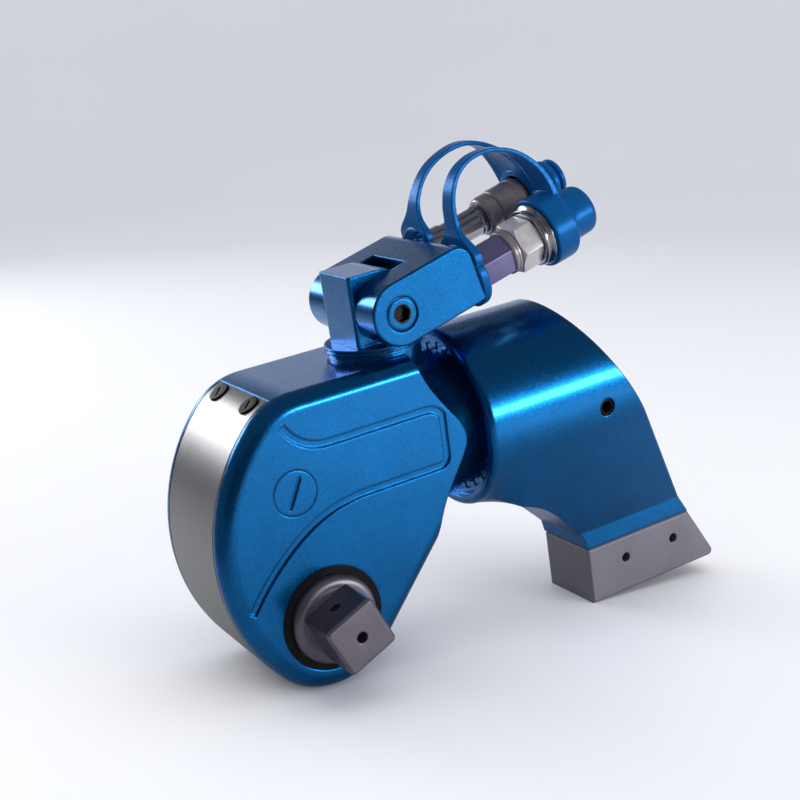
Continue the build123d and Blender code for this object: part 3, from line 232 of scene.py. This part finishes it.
def blue_paint(look, name="blue_paint", shaded_hole=None):
    """Candy blue over metal flake under a clear coat; inside a radius round the pivot, painted shade: a
    near-black disc for a counterbore's shade, over the dark screw's own colour.
    """
    finish = Finish(name)
    flake = finish.ramp(finish.cells(2600.0), 0.1, 0.9, dimmed(look.paint, 0.6), tuple(look.paint))
    cloud = finish.ramp(finish.noise(60.0, 4.0), 0.35, 0.7, 0.88, 1.0)
    painted = finish.blend(1.0, flake, cloud, "MULTIPLY")
    if shaded_hole:
        # Painted shade: a near-black disc round the pivot stands in for the counterbore's shade over the dark
        # screw
        hole_shade = finish.ramp(finish.noise(900.0, 2.0), 0.3, 0.7, hole_shade_dark, hole_shade_light)
        painted = finish.blend(finish.within(pivot, across, shaded_hole), painted, hole_shade)
    finish.color(painted)
    finish.set(metallic=0.96, coat=0.16, coat_roughness=0.1)
    finish.rough(finish.ramp(finish.noise(900.0, 2.0), 0.3, 0.7, 0.2, 0.28))
    peel = finish.bump(finish.noise(1000.0, 2.0), mm(0.03), 0.2, finish.edges(paint_edge))
    finish.bump(finish.cells(1500.0, "Distance"), mm(0.02), 0.15, peel)
    return finish.material


def brushed(name, color, grain):
    """Brushed or ground metal with its grain drawn out one way."""
    finish = Finish(name)
    streaks = finish.noise(1.0, 5.0, 0.6, finish.stretched(grain))
    finish.color(finish.ramp(streaks, 0.3, 0.7, dimmed(color, 0.78), color))
    finish.set(metallic=1.0)
    finish.rough(finish.ramp(streaks, 0.3, 0.7, 0.28, 0.42))
    finish.bump(streaks, mm(0.02), 0.5)
    return finish.material


def satin(name, color, roughness, metallic=0.7):
    """A blasted or phosphated metal, even and fine."""
    finish = Finish(name)
    patches = finish.noise(45.0, 5.0)
    fine = finish.noise(1400.0)
    tone = finish.ramp(patches, 0.3, 0.75, dimmed(color, 0.8), color)
    speck = finish.ramp(fine, 0.3, 0.7, 0.86, 1.0)
    finish.color(finish.blend(1.0, tone, speck, "MULTIPLY"))
    finish.set(metallic=metallic)
    finish.rough(finish.ramp(patches, 0.3, 0.7, *roughness))
    finish.bump(fine, mm(0.03), 0.6, finish.edges(steel_edge))
    return finish.material


def plated(name, color, roughness=(0.10, 0.2), metallic=1.0):
    """Bright plating with faint smears and turning marks."""
    finish = Finish(name)
    smear = finish.noise(120.0, 4.0)
    finish.color(finish.ramp(smear, 0.3, 0.7, dimmed(color, 0.82), color))
    finish.set(metallic=metallic)
    finish.rough(finish.ramp(finish.noise(300.0), 0.3, 0.7, *roughness))
    finish.bump(finish.noise(700.0, 2.0), mm(0.01), 0.4)
    return finish.material


def rubber(name, color):
    """Matt seal rubber."""
    finish = Finish(name)
    fine = finish.noise(1800.0)
    finish.color(finish.ramp(fine, 0.3, 0.7, dimmed(color, 0.7), color))
    finish.set(specular=0.12)
    finish.rough(finish.ramp(fine, 0.3, 0.7, 0.3, 0.42))
    finish.bump(fine, mm(0.03), 0.5)
    return finish.material


def moulded(name, color):
    """Semi-gloss coloured plastic, a little cloudy."""
    finish = Finish(name)
    cloud = finish.noise(90.0)
    finish.color(finish.ramp(cloud, 0.3, 0.75, dimmed(color, 0.85), color))
    finish.set(specular=0.06, metallic=0.35)
    finish.rough(finish.ramp(finish.noise(500.0, 2.0), 0.3, 0.7, 0.28, 0.38))
    finish.bump(finish.noise(350.0, 2.0), mm(0.04), 0.4)
    return finish.material


def make_finishes(look):
    """One material for each of the record's slots, and one of its own for the pivot bolts."""
    return {
        "blue_paint": blue_paint(look),
        "pivot_bolts": blue_paint(look, "bolt_paint_hole_shade", shaded_hole_radius),
        "brushed_shroud": brushed("brushed_shroud", tuple(look.shroud), (40, 2600, 40)),
        "drive_steel": satin("drive_steel", tuple(look.drive), (0.34, 0.46), 0.92),
        "foot_steel": satin("foot_steel", tuple(look.foot), (0.45, 0.6)),
        "black_screw": satin("black_screw", (0.014, 0.012, 0.012), (0.24, 0.34), 1.0),
        "black_rubber": rubber("black_rubber", (0.004, 0.004, 0.005)),
        "nickel": plated("nickel", (0.70, 0.67, 0.67), (0.26, 0.36), 0.68),
        "dark_nickel": plated("dark_nickel", (0.30, 0.265, 0.28), (0.3, 0.4), 0.65),
        "chrome": plated("chrome", (0.46, 0.45, 0.49), (0.16, 0.26)),
        "purple_hex": satin("purple_hex", (0.17, 0.16, 0.32), (0.3, 0.4), 0.75),
        "blue_plastic": moulded("blue_plastic", tuple(look.plastic)),
        "bronze": brushed("bronze", (0.42, 0.26, 0.11), (400, 400, 400)),
        "hardened_steel": brushed("hardened_steel", (0.30, 0.30, 0.31), (900, 200, 900)),
        "chromed_rod": plated("chromed_rod", (0.7, 0.7, 0.71)),
    }


# Shaping


weld_gap = mm(0.03)  # points closer than this are one
hexagon_end_share = 0.985  # a hexagon's end circle over the width across its flats
hexagon_spare = 0.1  # how far the blank stands out past the hexagon's corners
hexagon_past_ends = 2  # how much longer than the blank the hexagon is cut


def only(piece):
    """Make one object the sole selected and active one."""
    bpy.ops.object.select_all(action="DESELECT")
    piece.select_set(True)
    bpy.context.view_layer.objects.active = piece


def settle(piece, matrix, finish, body=None):
    """Put a finished piece's place into its mesh, give it its finish and its body."""
    piece.data.transform(matrix)
    piece.data.materials.clear()
    piece.data.materials.append(made[finish])
    if body:
        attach(piece, body)


def turned(name, profile, sides=96):
    """A turned piece: a circle at the first step, drawn out and resized step by step along Z."""
    bpy.ops.object.select_all(action="DESELECT")
    start, radius = profile[0]
    bpy.ops.mesh.primitive_circle_add(vertices=sides, radius=mm(radius), location=(0, 0, mm(start)))
    piece = bpy.context.object
    piece.name = name
    bpy.ops.object.transform_apply(location=True)
    bpy.ops.object.mode_set(mode="EDIT")
    bpy.ops.mesh.select_all(action="SELECT")
    for place, wide in profile[1:]:
        bpy.ops.mesh.extrude_edges_move(TRANSFORM_OT_translate={"value": (0, 0, mm(place - start))})
        if abs(wide - radius) > 1e-6:
            factor = wide / radius
            bpy.ops.transform.resize(value=(factor, factor, 1), center_override=(0, 0, mm(place)))
        start, radius = place, wide
    bpy.ops.mesh.select_all(action="SELECT")
    bpy.ops.mesh.remove_doubles(threshold=weld_gap)
    bpy.ops.mesh.select_all(action="SELECT")
    bpy.ops.mesh.fill_holes(sides=0)
    bpy.ops.mesh.select_all(action="SELECT")
    bpy.ops.mesh.normals_make_consistent(inside=False)
    bpy.ops.object.mode_set(mode="OBJECT")
    return piece


def finish_with(piece, kind, **values):
    """Add one modifier, set it and apply it."""
    only(piece)
    bpy.ops.object.modifier_add(type=kind)
    modifier = piece.modifiers[-1]
    for key, value in values.items():
        setattr(modifier, key, value)
    bpy.ops.object.modifier_apply(modifier=modifier.name)
    return piece


def softened(piece, width, angle=30.0):
    """Small rounds on the edges, then smooth shading."""
    sharp = math.radians(angle)
    finish_with(
        piece, "BEVEL", width=mm(width), segments=3, limit_method="ANGLE", angle_limit=sharp
    )
    only(piece)
    bpy.ops.object.shade_smooth_by_angle(angle=sharp)
    return piece


def hexagon(name, start, end, flats, turn, chamfer):
    """A hexagon bar with its corners turned off at both ends."""
    corner = flats / math.sqrt(3)
    small = flats / 2 * hexagon_end_share
    rise = (corner - small) * chamfer
    wide = corner + hexagon_spare
    blank = turned(name, ((start, small), (start + rise, wide), (end - rise, wide), (end, small)))
    bpy.ops.object.select_all(action="DESELECT")
    bpy.ops.mesh.primitive_cylinder_add(
        vertices=6,
        radius=mm(corner),
        depth=mm(end - start + hexagon_past_ends),
        location=(0, 0, mm((start + end) / 2)),
    )
    bar = bpy.context.object
    bpy.ops.object.transform_apply(location=True)
    bar.data.transform(Matrix.Rotation(math.radians(turn - 30), 4, "Z"))
    finish_with(blank, "BOOLEAN", operation="INTERSECT", object=bar, solver="EXACT")
    bpy.data.objects.remove(bar)
    return softened(blank, 0.25, 20.0)


def joined(first, *others):
    """Join pieces into the first one, with all their shells."""
    only(first)
    for other in others:
        other.select_set(True)
    bpy.ops.object.join()
    return first


def band(name, route):
    """A flat band along a route, whose steps give its place, height, width and thickness."""
    bpy.ops.object.select_all(action="DESELECT")
    bpy.ops.mesh.primitive_plane_add(size=1.0, location=(0, 0, 0))
    piece = bpy.context.object
    piece.name = name
    place, height, width, thickness = route[0]
    bearing = math.atan2(route[1][1] - height, route[1][0] - place)
    bpy.ops.object.mode_set(mode="EDIT")
    bpy.ops.mesh.select_all(action="SELECT")
    bpy.ops.mesh.subdivide(number_cuts=5)
    bpy.ops.transform.resize(value=(mm(width), mm(thickness), 1), center_override=(0, 0, 0))
    bpy.ops.transform.rotate(value=bearing, orient_axis="X", orient_type="GLOBAL", center_override=(0, 0, 0))
    bpy.ops.transform.translate(value=(0, mm(height), mm(place)))
    for number in range(1, len(route)):
        new_place, new_height, new_width, new_thickness = route[number]
        step = (0, mm(new_height - height), mm(new_place - place))
        bpy.ops.mesh.extrude_region_move(TRANSFORM_OT_translate={"value": step})
        ahead = route[min(number + 1, len(route) - 1)]
        new_bearing = math.atan2(ahead[1] - height, ahead[0] - place)
        centre = (0, mm(new_height), mm(new_place))
        bpy.ops.transform.rotate(
            value=new_bearing - bearing, orient_axis="X", orient_type="GLOBAL", center_override=centre
        )
        thicker = new_thickness / thickness
        bpy.ops.transform.resize(value=(new_width / width, thicker, thicker), center_override=centre)
        place, height, width, thickness = route[number]
        bearing = new_bearing
    bpy.ops.mesh.select_all(action="SELECT")
    bpy.ops.mesh.normals_make_consistent(inside=False)
    bpy.ops.object.mode_set(mode="OBJECT")
    return piece


def curve_value(a, b, c, d, t):
    """The value at t between b and c on a smooth curve through a, b, c and d."""
    return 0.5 * (
        2 * b + (c - a) * t + (2 * a - 5 * b + 4 * c - d) * t**2 + (3 * b - a - 3 * c + d) * t**3
    )


def eased(route, parts=4):
    """The same route with more steps, on a smooth curve through its points."""
    steps = []
    for number in range(len(route) - 1):
        before, here, there, beyond = (
            Vector(route[min(max(number + shift, 0), len(route) - 1)]) for shift in (-1, 0, 1, 2)
        )
        for part in range(parts):
            t = part / parts
            steps.append(
                tuple(curve_value(*values, t) for values in zip(before, here, there, beyond))
            )
    return (*steps, route[-1])


def wrapped(piece, start, end):
    """Bend a band round the port's axis, from nothing at start to fully at end."""
    for point in piece.data.vertices:
        share = min(max((point.co.z - mm(start)) / mm(end - start), 0.0), 1.0)
        if share > 0 and point.co.y > abs(point.co.x):
            round_height = math.sqrt(point.co.y**2 - point.co.x**2)
            point.co.y += (round_height - point.co.y) * share
    return piece


def moulded_together(pieces, voxel=0.36, passes=6):
    """Join pieces into one moulding: one skin over them all, with its creases rounded."""
    piece = joined(*pieces)
    finish_with(piece, "REMESH", mode="VOXEL", voxel_size=mm(voxel))
    finish_with(piece, "SMOOTH", factor=0.5, iterations=passes)
    only(piece)
    bpy.ops.object.shade_smooth()
    return piece


# The stage, in metres: the backdrop's radius and height step by step, the lamps and the camera
floor_radius = 0.5
backdrop_steps = ((1.7, 0.0), (2.0, 0.04), (2.25, 0.14), (2.45, 0.32), (2.55, 0.55), (2.6, 1.3))
lamp_places = {
    "ceiling": (-0.2, -0.1, 1.6),
    "front_strip": (0.82, -1.30, 0.33),
    "nose_strip": (-0.62, 1.35, 0.55),
}
lamp_aims = {"ceiling": (0, 0, 0), "front_strip": (0, 0, 0.1), "nose_strip": (-0.1, 0, 0.1)}
lamp_sizes = {"ceiling": (2.4, 2.4), "front_strip": (1.1, 0.22), "nose_strip": (0.8, 0.35)}
studio_tint = (0.95, 0.965, 1.0, 1.0)
camera_offset = Vector(mm(-254.97, -547.04, 231.91))  # from the drive's middle
camera_right = Vector((0.8643072, -0.50185596, -0.03337148))
camera_up = Vector((0.14290763, 0.1814201, 0.97296668))


# Settings


class WrenchLook(bpy.types.PropertyGroup):
    paint: FloatVectorProperty(
        name="Paint",
        description="Colour of the blue paint",
        subtype="COLOR",
        size=3,
        default=(0.003, 0.16, 0.46),
    )
    plastic: FloatVectorProperty(
        name="Caps",
        description="Colour of the dust caps",
        subtype="COLOR",
        size=3,
        default=(0.004, 0.085, 0.27),
    )
    shroud: FloatVectorProperty(
        name="Shroud",
        description="Colour of the brushed shroud",
        subtype="COLOR",
        size=3,
        default=(0.30, 0.30, 0.31),
    )
    drive: FloatVectorProperty(
        name="Drive",
        description="Colour of the square drive",
        subtype="COLOR",
        size=3,
        default=(0.21, 0.19, 0.23),
    )
    foot: FloatVectorProperty(
        name="Foot",
        description="Colour of the reaction foot",
        subtype="COLOR",
        size=3,
        default=(0.23, 0.22, 0.26),
    )


class WrenchStage(bpy.types.PropertyGroup):
    floor: FloatVectorProperty(
        name="Floor",
        description="Colour of the floor",
        subtype="COLOR",
        size=3,
        default=(0.81, 0.815, 0.84),
    )
    wall: FloatVectorProperty(
        name="Wall",
        description="Colour of the floor where it curves up",
        subtype="COLOR",
        size=3,
        default=(0.77, 0.78, 0.82),
    )
    ceiling_power: FloatProperty(
        name="Ceiling", description="Power of the large light overhead", unit="POWER", default=19.0
    )
    front_power: FloatProperty(
        name="Front strip", description="Power of the low strip in front", unit="POWER", default=14.0
    )
    nose_power: FloatProperty(
        name="Nose strip", description="Power of the low light behind the nose", unit="POWER", default=8.0
    )
    ambient: FloatProperty(
        name="Ambient",
        description="Strength of the even light from above",
        default=0.66,
        min=0.0,
    )
    ceiling_gloss: FloatProperty(
        name="Ceiling in gloss",
        description="How bright the ceiling looks in reflections",
        default=0.18,
        min=0.0,
    )
    # Painted reflection shade: how dark the floor on the left is painted for glossy rays only
    flag: FloatProperty(
        name="Flag",
        description="How bright the floor on the left looks in reflections",
        default=0.22,
        min=0.0,
        max=1.0,
    )
    lens: FloatProperty(name="Lens", description="Focal length of the camera in millimetres", default=62.2)


# Routes and profiles, in millimetres along and above a port's axis


near_band = (
    (45.0, 7.5, 30.0, 4.2),
    (45.1, 12.0, 29.0, 4.2),
    (45.2, 15.5, 24.0, 3.8),
    (45.4, 19.0, 15.5, 3.2),
    (45.9, 22.5, 11.0, 2.7),
    (46.6, 27.0, 9.2, 2.4),
    (48.4, 34.0, 8.6, 2.3),
    (51.8, 40.5, 8.2, 2.2),
    (57.0, 45.5, 7.6, 2.0),
    (64.0, 48.2, 7.0, 1.9),
    (72.0, 48.3, 7.0, 1.9),
    (79.5, 46.3, 7.8, 2.0),
    (86.5, 42.2, 9.4, 2.2),
    (92.0, 36.5, 11.4, 2.4),
    (96.0, 30.0, 13.0, 2.7),
    (98.2, 23.5, 14.4, 3.0),
    (98.6, 18.0, 16.0, 3.4),
    (98.2, 13.5, 18.0, 3.6),
)
far_band = (
    (44.4, 6.5, 24.0, 3.8),
    (44.5, 10.0, 23.5, 3.8),
    (44.9, 13.0, 20.0, 3.4),
    (45.8, 16.0, 14.5, 2.9),
    (47.0, 19.0, 10.6, 2.5),
    (49.2, 23.6, 8.2, 2.2),
    (52.6, 28.2, 7.2, 2.1),
    (57.6, 32.8, 6.8, 2.0),
    (64.0, 36.2, 6.8, 1.9),
    (72.0, 38.1, 7.0, 1.9),
    (80.3, 38.2, 7.8, 2.0),
    (87.5, 36.3, 10.0, 2.1),
    (93.5, 32.6, 14.5, 2.2),
    (98.5, 27.8, 20.0, 2.4),
    (102.5, 22.6, 25.0, 2.6),
    (105.0, 18.0, 27.5, 2.8),
    (106.4, 14.0, 27.5, 3.0),
)
near_cap_profile = (
    (86.6, 14.35), (86.6, 16.4), (87.1, 17.0), (90.0, 17.15), (97.8, 17.2), (98.8, 16.9), (99.3, 16.1),
    (99.6, 14.6), (100.4, 13.3), (101.8, 12.5), (104.0, 12.2), (112.4, 12.0), (114.0, 11.5),
    (115.0, 10.4), (115.4, 8.8), (114.8, 8.0), (114.2, 7.6), (114.2, 0.01), (112.6, 0.01), (112.6, 9.4),
    (101.0, 9.6), (98.0, 10.0), (98.0, 14.35), (86.6, 14.35),
)
far_cap_profile = (
    (103.9, 10.9), (103.9, 13.2), (104.5, 13.8), (112.4, 14.0), (113.4, 13.6), (113.9, 12.6),
    (114.2, 11.0), (115.2, 9.9), (116.6, 9.4), (119.0, 9.3), (119.6, 9.9), (120.4, 10.4), (122.4, 10.5),
    (123.0, 10.0), (123.4, 7.9), (124.7, 7.9), (125.1, 9.4), (126.6, 9.6), (127.5, 9.0), (127.8, 8.0),
    (127.8, 6.0), (127.2, 5.6), (127.2, 0.01), (125.4, 0.01), (125.4, 7.0), (113.2, 7.2), (113.2, 10.9),
    (103.9, 10.9),
)
near_wrap = (84.0, 98.0)  # the strap bends round its cap between these places
far_wrap = (82.0, 100.0)
near_stretch = (50.0, 84.0)  # places along the port, handed to share
far_stretch = (50.0, 96.0)
tab_hole = (-5.6, 9.6, 44.0)  # across, up and along
tab_hole_radius = 1.8
tab_hole_depth = 16
tab_hole_stretch = 1.7
near_ring_profile = (
    (42.3, 8.4), (42.3, 15.0), (42.9, 15.5), (46.2, 15.5), (46.9, 15.1), (47.1, 14.4), (46.6, 12.2),
    (45.0, 11.6), (45.0, 8.4), (42.3, 8.4),
)
far_ring_profile = (
    (42.3, 7.6), (42.3, 12.4), (42.9, 13.0), (45.2, 13.0), (45.9, 12.6), (46.0, 11.8), (45.6, 10.4),
    (45.0, 10.0), (45.0, 7.6), (42.3, 7.6),
)
adaptor_hexagon = {"start": 45.1, "end": 65.4, "flats": 19.0, "turn": 41.5, "chamfer": 0.5}
nut_hexagon = {"start": 69.9, "end": 81.4, "flats": 22.0, "turn": 7.0, "chamfer": 0.55}
near_shank_profile = (
    (31.0, 3.0), (31.0, 5.9), (42.1, 5.9), (42.1, 8.0), (73.3, 8.0), (73.3, 3.0), (31.0, 3.0),
)
near_tube_profile = ((73.4, 8.1), (73.4, 10.7), (97.3, 10.7), (97.3, 8.1), (73.4, 8.1))
collar_profile = (
    (65.5, 8.1), (65.5, 9.7), (65.9, 10.4), (66.6, 10.75), (67.2, 10.5), (67.7, 10.5), (68.2, 10.8),
    (69.2, 10.7), (69.7, 10.2), (69.85, 9.4), (69.85, 8.1), (65.5, 8.1),
)
sleeve_profile = (
    (81.6, 10.9), (81.6, 13.2), (81.8, 13.9), (82.3, 14.2), (82.9, 14.1), (83.3, 13.5), (83.8, 13.3),
    (84.3, 13.8), (85.0, 14.8), (85.7, 15.3), (86.1, 15.2), (86.2, 14.6), (86.2, 13.9), (97.3, 13.9),
    (97.3, 10.9), (81.6, 10.9),
)
far_adaptor_profile = (
    (31.0, 3.0), (31.0, 5.9), (42.1, 5.9), (42.1, 7.0), (45.4, 7.0), (45.6, 7.6), (46.0, 8.0),
    (56.0, 8.0), (56.6, 7.7), (56.8, 7.2), (76.0, 7.2), (76.6, 7.6), (77.6, 7.7), (78.2, 7.2),
    (82.4, 7.2), (82.4, 3.0), (31.0, 3.0),
)
far_body_profile = (
    (79.6, 7.3), (79.6, 8.2), (80.1, 9.1), (81.0, 9.8), (82.6, 10.1), (86.4, 10.1), (86.9, 9.8),
    (87.1, 9.3), (87.5, 9.3), (87.7, 10.1), (88.3, 10.5), (97.6, 10.5), (97.9, 10.15), (100.0, 10.15),
    (100.3, 10.5), (102.9, 10.5), (103.5, 10.2), (103.7, 9.6), (103.7, 8.6), (111.8, 8.6), (111.8, 7.3),
    (79.6, 7.3),
)


# Operators


class WRENCH_OT_finishes(bpy.types.Operator):
    """Give every node of the frame its finish"""

    bl_idname = "wrench.finishes"
    bl_label = "Finishes"

    def execute(self, context):
        finishes = make_finishes(context.scene.wrench_look)
        for name, node in frame["nodes"].items():
            material = finishes.get(name, finishes[finish_of[name]])
            if not node.material_slots:
                node.data.materials.append(material)
            for slot in node.material_slots:
                slot.material = material
        return {"FINISHED"}


class WRENCH_OT_dust_caps(bpy.types.Operator):
    """Mould each dust cap in one with its strap and the ring round its coupler"""

    bl_idname = "wrench.dust_caps"
    bl_label = "Dust caps"

    def execute(self, context):
        near = moulded_together(
            (
                turned("near_dust_cap", near_cap_profile),
                turned("near_ring", near_ring_profile),
                wrapped(band("near_band", eased(near_band)), *near_wrap),
            )
        )
        settle(near, near_port, "blue_plastic")
        self.share(near, near_port, near_stretch, "cap_near")
        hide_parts("near_cap", "near_strap")

        strap = band("far_band", eased(far_band))
        bpy.ops.object.select_all(action="DESELECT")
        bpy.ops.mesh.primitive_cylinder_add(
            vertices=32, radius=mm(tab_hole_radius), depth=mm(tab_hole_depth), location=mm(*tab_hole)
        )
        hole = bpy.context.object
        bpy.ops.object.transform_apply(location=True)
        bpy.ops.object.mode_set(mode="EDIT")
        bpy.ops.mesh.select_all(action="SELECT")
        bpy.ops.transform.resize(value=(tab_hole_stretch, 1, 1), center_override=mm(*tab_hole))
        bpy.ops.object.mode_set(mode="OBJECT")
        ring = turned("far_ring", far_ring_profile)
        for drilled in (strap, ring):
            finish_with(drilled, "BOOLEAN", operation="DIFFERENCE", object=hole, solver="EXACT")
        bpy.data.objects.remove(hole)
        far = moulded_together((turned("far_dust_cap", far_cap_profile), ring, wrapped(strap, *far_wrap)))
        settle(far, far_port, "blue_plastic")
        self.share(far, far_port, far_stretch, "cap_far")
        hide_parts("far_cap", "far_strap")
        return {"FINISHED"}

    def share(self, piece, port, stretch, cap):
        """Bake the moulding's place into its mesh."""
        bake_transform(piece)


class WRENCH_OT_couplers(bpy.types.Operator):
    """Turn and mill the couplers' adaptors, collar, nut, sleeve and body"""

    bl_idname = "wrench.couplers"
    bl_label = "Couplers"

    def execute(self, context):
        shank = turned("near_shank", near_shank_profile)
        adaptor = joined(hexagon("near_hex_adaptor", **adaptor_hexagon), shank)
        settle(adaptor, near_port, "purple_hex", "fork")
        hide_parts("near_adaptor")

        collar = softened(turned("near_coupler_collar", collar_profile), 0.15)
        settle(collar, near_port, "dark_nickel", "fork")
        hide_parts("near_collar")

        tube = turned("near_tube", near_tube_profile)
        nut = joined(hexagon("near_hex_nut", **nut_hexagon), tube)
        settle(nut, near_port, "nickel", "fork")
        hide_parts("near_coupler_nut")

        sleeve = softened(turned("near_sleeve", sleeve_profile), 0.15)
        settle(sleeve, near_port, "chrome", "sleeve")
        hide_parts("near_coupler_sleeve")

        stem = softened(turned("far_stem", far_adaptor_profile), 0.2)
        settle(stem, far_port, "chrome", "fork")
        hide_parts("far_adaptor")

        body = softened(turned("far_coupler", far_body_profile), 0.2)
        settle(body, far_port, "dark_nickel", "fork")
        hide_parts("far_coupler_body")
        return {"FINISHED"}


class WRENCH_OT_stage(bpy.types.Operator):
    """Set up the floor, the soft lights and the camera"""

    bl_idname = "wrench.stage"
    bl_label = "Stage"

    def backdrop(self, stage):
        """A round floor that curves up into a low wall on every side, so no horizon shows."""
        bpy.ops.object.select_all(action="DESELECT")
        bpy.ops.mesh.primitive_circle_add(
            vertices=96, radius=floor_radius, fill_type="NGON", location=(0, 0, 0)
        )
        floor = bpy.context.object
        floor.name = "floor"
        bpy.ops.object.mode_set(mode="EDIT")
        bpy.ops.mesh.select_all(action="SELECT")
        radius, height = floor_radius, 0.0
        for new_radius, new_height in backdrop_steps:
            bpy.ops.mesh.extrude_region_move(TRANSFORM_OT_translate={"value": (0, 0, new_height - height)})
            factor = new_radius / radius
            bpy.ops.transform.resize(value=(factor, factor, 1), center_override=(0, 0, 0))
            radius, height = new_radius, new_height
        bpy.ops.mesh.delete(type="ONLY_FACE")
        bpy.ops.object.mode_set(mode="OBJECT")
        only(floor)
        bpy.ops.object.shade_smooth()
        finish = Finish("floor")
        far = finish.vector_math("LENGTH", finish.place)
        apart = finish.tree.nodes.new("ShaderNodeSeparateXYZ")
        finish.tree.links.new(finish.place, apart.inputs["Vector"])
        tone = finish.ramp(finish.spread(far, 0.3, 2.4), 0.0, 1.0, tuple(stage.floor), tuple(stage.wall))
        cloud = finish.ramp(finish.noise(3.0), 0.3, 0.7, 0.985, 1.0)
        even = finish.blend(1.0, tone, cloud, "MULTIPLY")
        # Painted reflections: for glossy rays only, the floor's colour is darkened close to the tool, on its
        # left and far in front, and lightened farther off, standing in for dark flags that are not there
        gloss_painted_shade = even
        for source, low, high, dark, light in (
            (far, 0.12, 0.55, 0.45, 1.12),
            (apart.outputs["X"], -0.34, -0.14, stage.flag, 1.0),
            (apart.outputs["Y"], -0.66, -0.44, 0.45, 1.0),
        ):
            shade = finish.ramp(finish.spread(source, low, high), 0.0, 1.0, dark, light)
            gloss_painted_shade = finish.blend(1.0, gloss_painted_shade, shade, "MULTIPLY")
        # The painted shade and light show in glossy rays only; camera and diffuse rays see the even floor
        rays = finish.tree.nodes.new("ShaderNodeLightPath")
        finish.color(finish.blend(rays.outputs["Is Glossy Ray"], even, gloss_painted_shade))
        finish.set(roughness=0.5, specular=0.3)
        floor.data.materials.append(finish.material)

    def light(self, name, power):
        """A rectangular lamp at its place, turned to its aim."""
        place, aim = Vector(lamp_places[name]), Vector(lamp_aims[name])
        bpy.ops.object.select_all(action="DESELECT")
        bpy.ops.object.light_add(type="AREA", location=place)
        lamp = bpy.context.object
        lamp.name = name
        lamp.data.energy = power
        lamp.data.shape = "RECTANGLE"
        lamp.data.size, lamp.data.size_y = lamp_sizes[name]
        lamp.rotation_euler = (aim - place).to_track_quat("-Z", "Y").to_euler()
        return lamp

    def execute(self, context):
        stage = context.scene.wrench_stage
        self.backdrop(stage)

        world = bpy.data.worlds.new("studio")
        context.scene.world = world
        world.use_nodes = True
        background = world.node_tree.nodes["Background"]
        background.inputs["Color"].default_value = studio_tint
        # Gloss sees a dim ceiling, as in a studio, while the floor gets the even light
        rays = world.node_tree.nodes.new("ShaderNodeLightPath")
        level = world.node_tree.nodes.new("ShaderNodeMapRange")
        level.inputs["To Min"].default_value = stage.ambient
        level.inputs["To Max"].default_value = stage.ceiling_gloss
        world.node_tree.links.new(rays.outputs["Is Glossy Ray"], level.inputs["Value"])
        world.node_tree.links.new(level.outputs["Result"], background.inputs["Strength"])

        self.light("ceiling", stage.ceiling_power).visible_glossy = False
        self.light("front_strip", stage.front_power)
        self.light("nose_strip", stage.nose_power)

        bpy.ops.object.select_all(action="DESELECT")
        bpy.ops.object.camera_add()
        camera = bpy.context.object
        camera.name = "camera"
        camera.data.lens = stage.lens
        camera.data.sensor_width = 36.0
        camera.data.sensor_fit = "HORIZONTAL"
        camera.data.dof.use_dof = False
        camera.data.clip_end = 60.0
        place = drive_axis + camera_offset
        back = camera_right.cross(camera_up)
        camera.matrix_world = placed(camera_right, camera_up, back, place)
        context.scene.camera = camera
        context.scene.view_settings.view_transform = "Standard"
        return {"FINISHED"}


class WRENCH_PT_dressing(bpy.types.Panel):
    """Buttons and settings of the torque wrench"""

    bl_label = "Torque wrench"
    bl_idname = "WRENCH_PT_dressing"
    bl_space_type = "VIEW_3D"
    bl_region_type = "UI"
    bl_category = "Torque wrench"

    def draw(self, context):
        for settings in (context.scene.wrench_look, context.scene.wrench_stage):
            box = self.layout.box()
            for key in settings.__annotations__:
                box.prop(settings, key)
        for step in steps:
            self.layout.operator(step.bl_idname)


steps = (WRENCH_OT_finishes, WRENCH_OT_dust_caps, WRENCH_OT_couplers, WRENCH_OT_stage)
classes = (WrenchLook, WrenchStage, *steps, WRENCH_PT_dressing)


def register():
    for item in classes:
        bpy.utils.register_class(item)
    bpy.types.Scene.wrench_look = PointerProperty(type=WrenchLook)
    bpy.types.Scene.wrench_stage = PointerProperty(type=WrenchStage)


def unregister():
    del bpy.types.Scene.wrench_stage
    del bpy.types.Scene.wrench_look
    for item in reversed(classes):
        bpy.utils.unregister_class(item)


def main():
    register()
    bpy.ops.wrench.finishes()
    bpy.ops.wrench.dust_caps()
    bpy.ops.wrench.couplers()
    bpy.ops.wrench.stage()


if __name__ == "__main__":
    main()
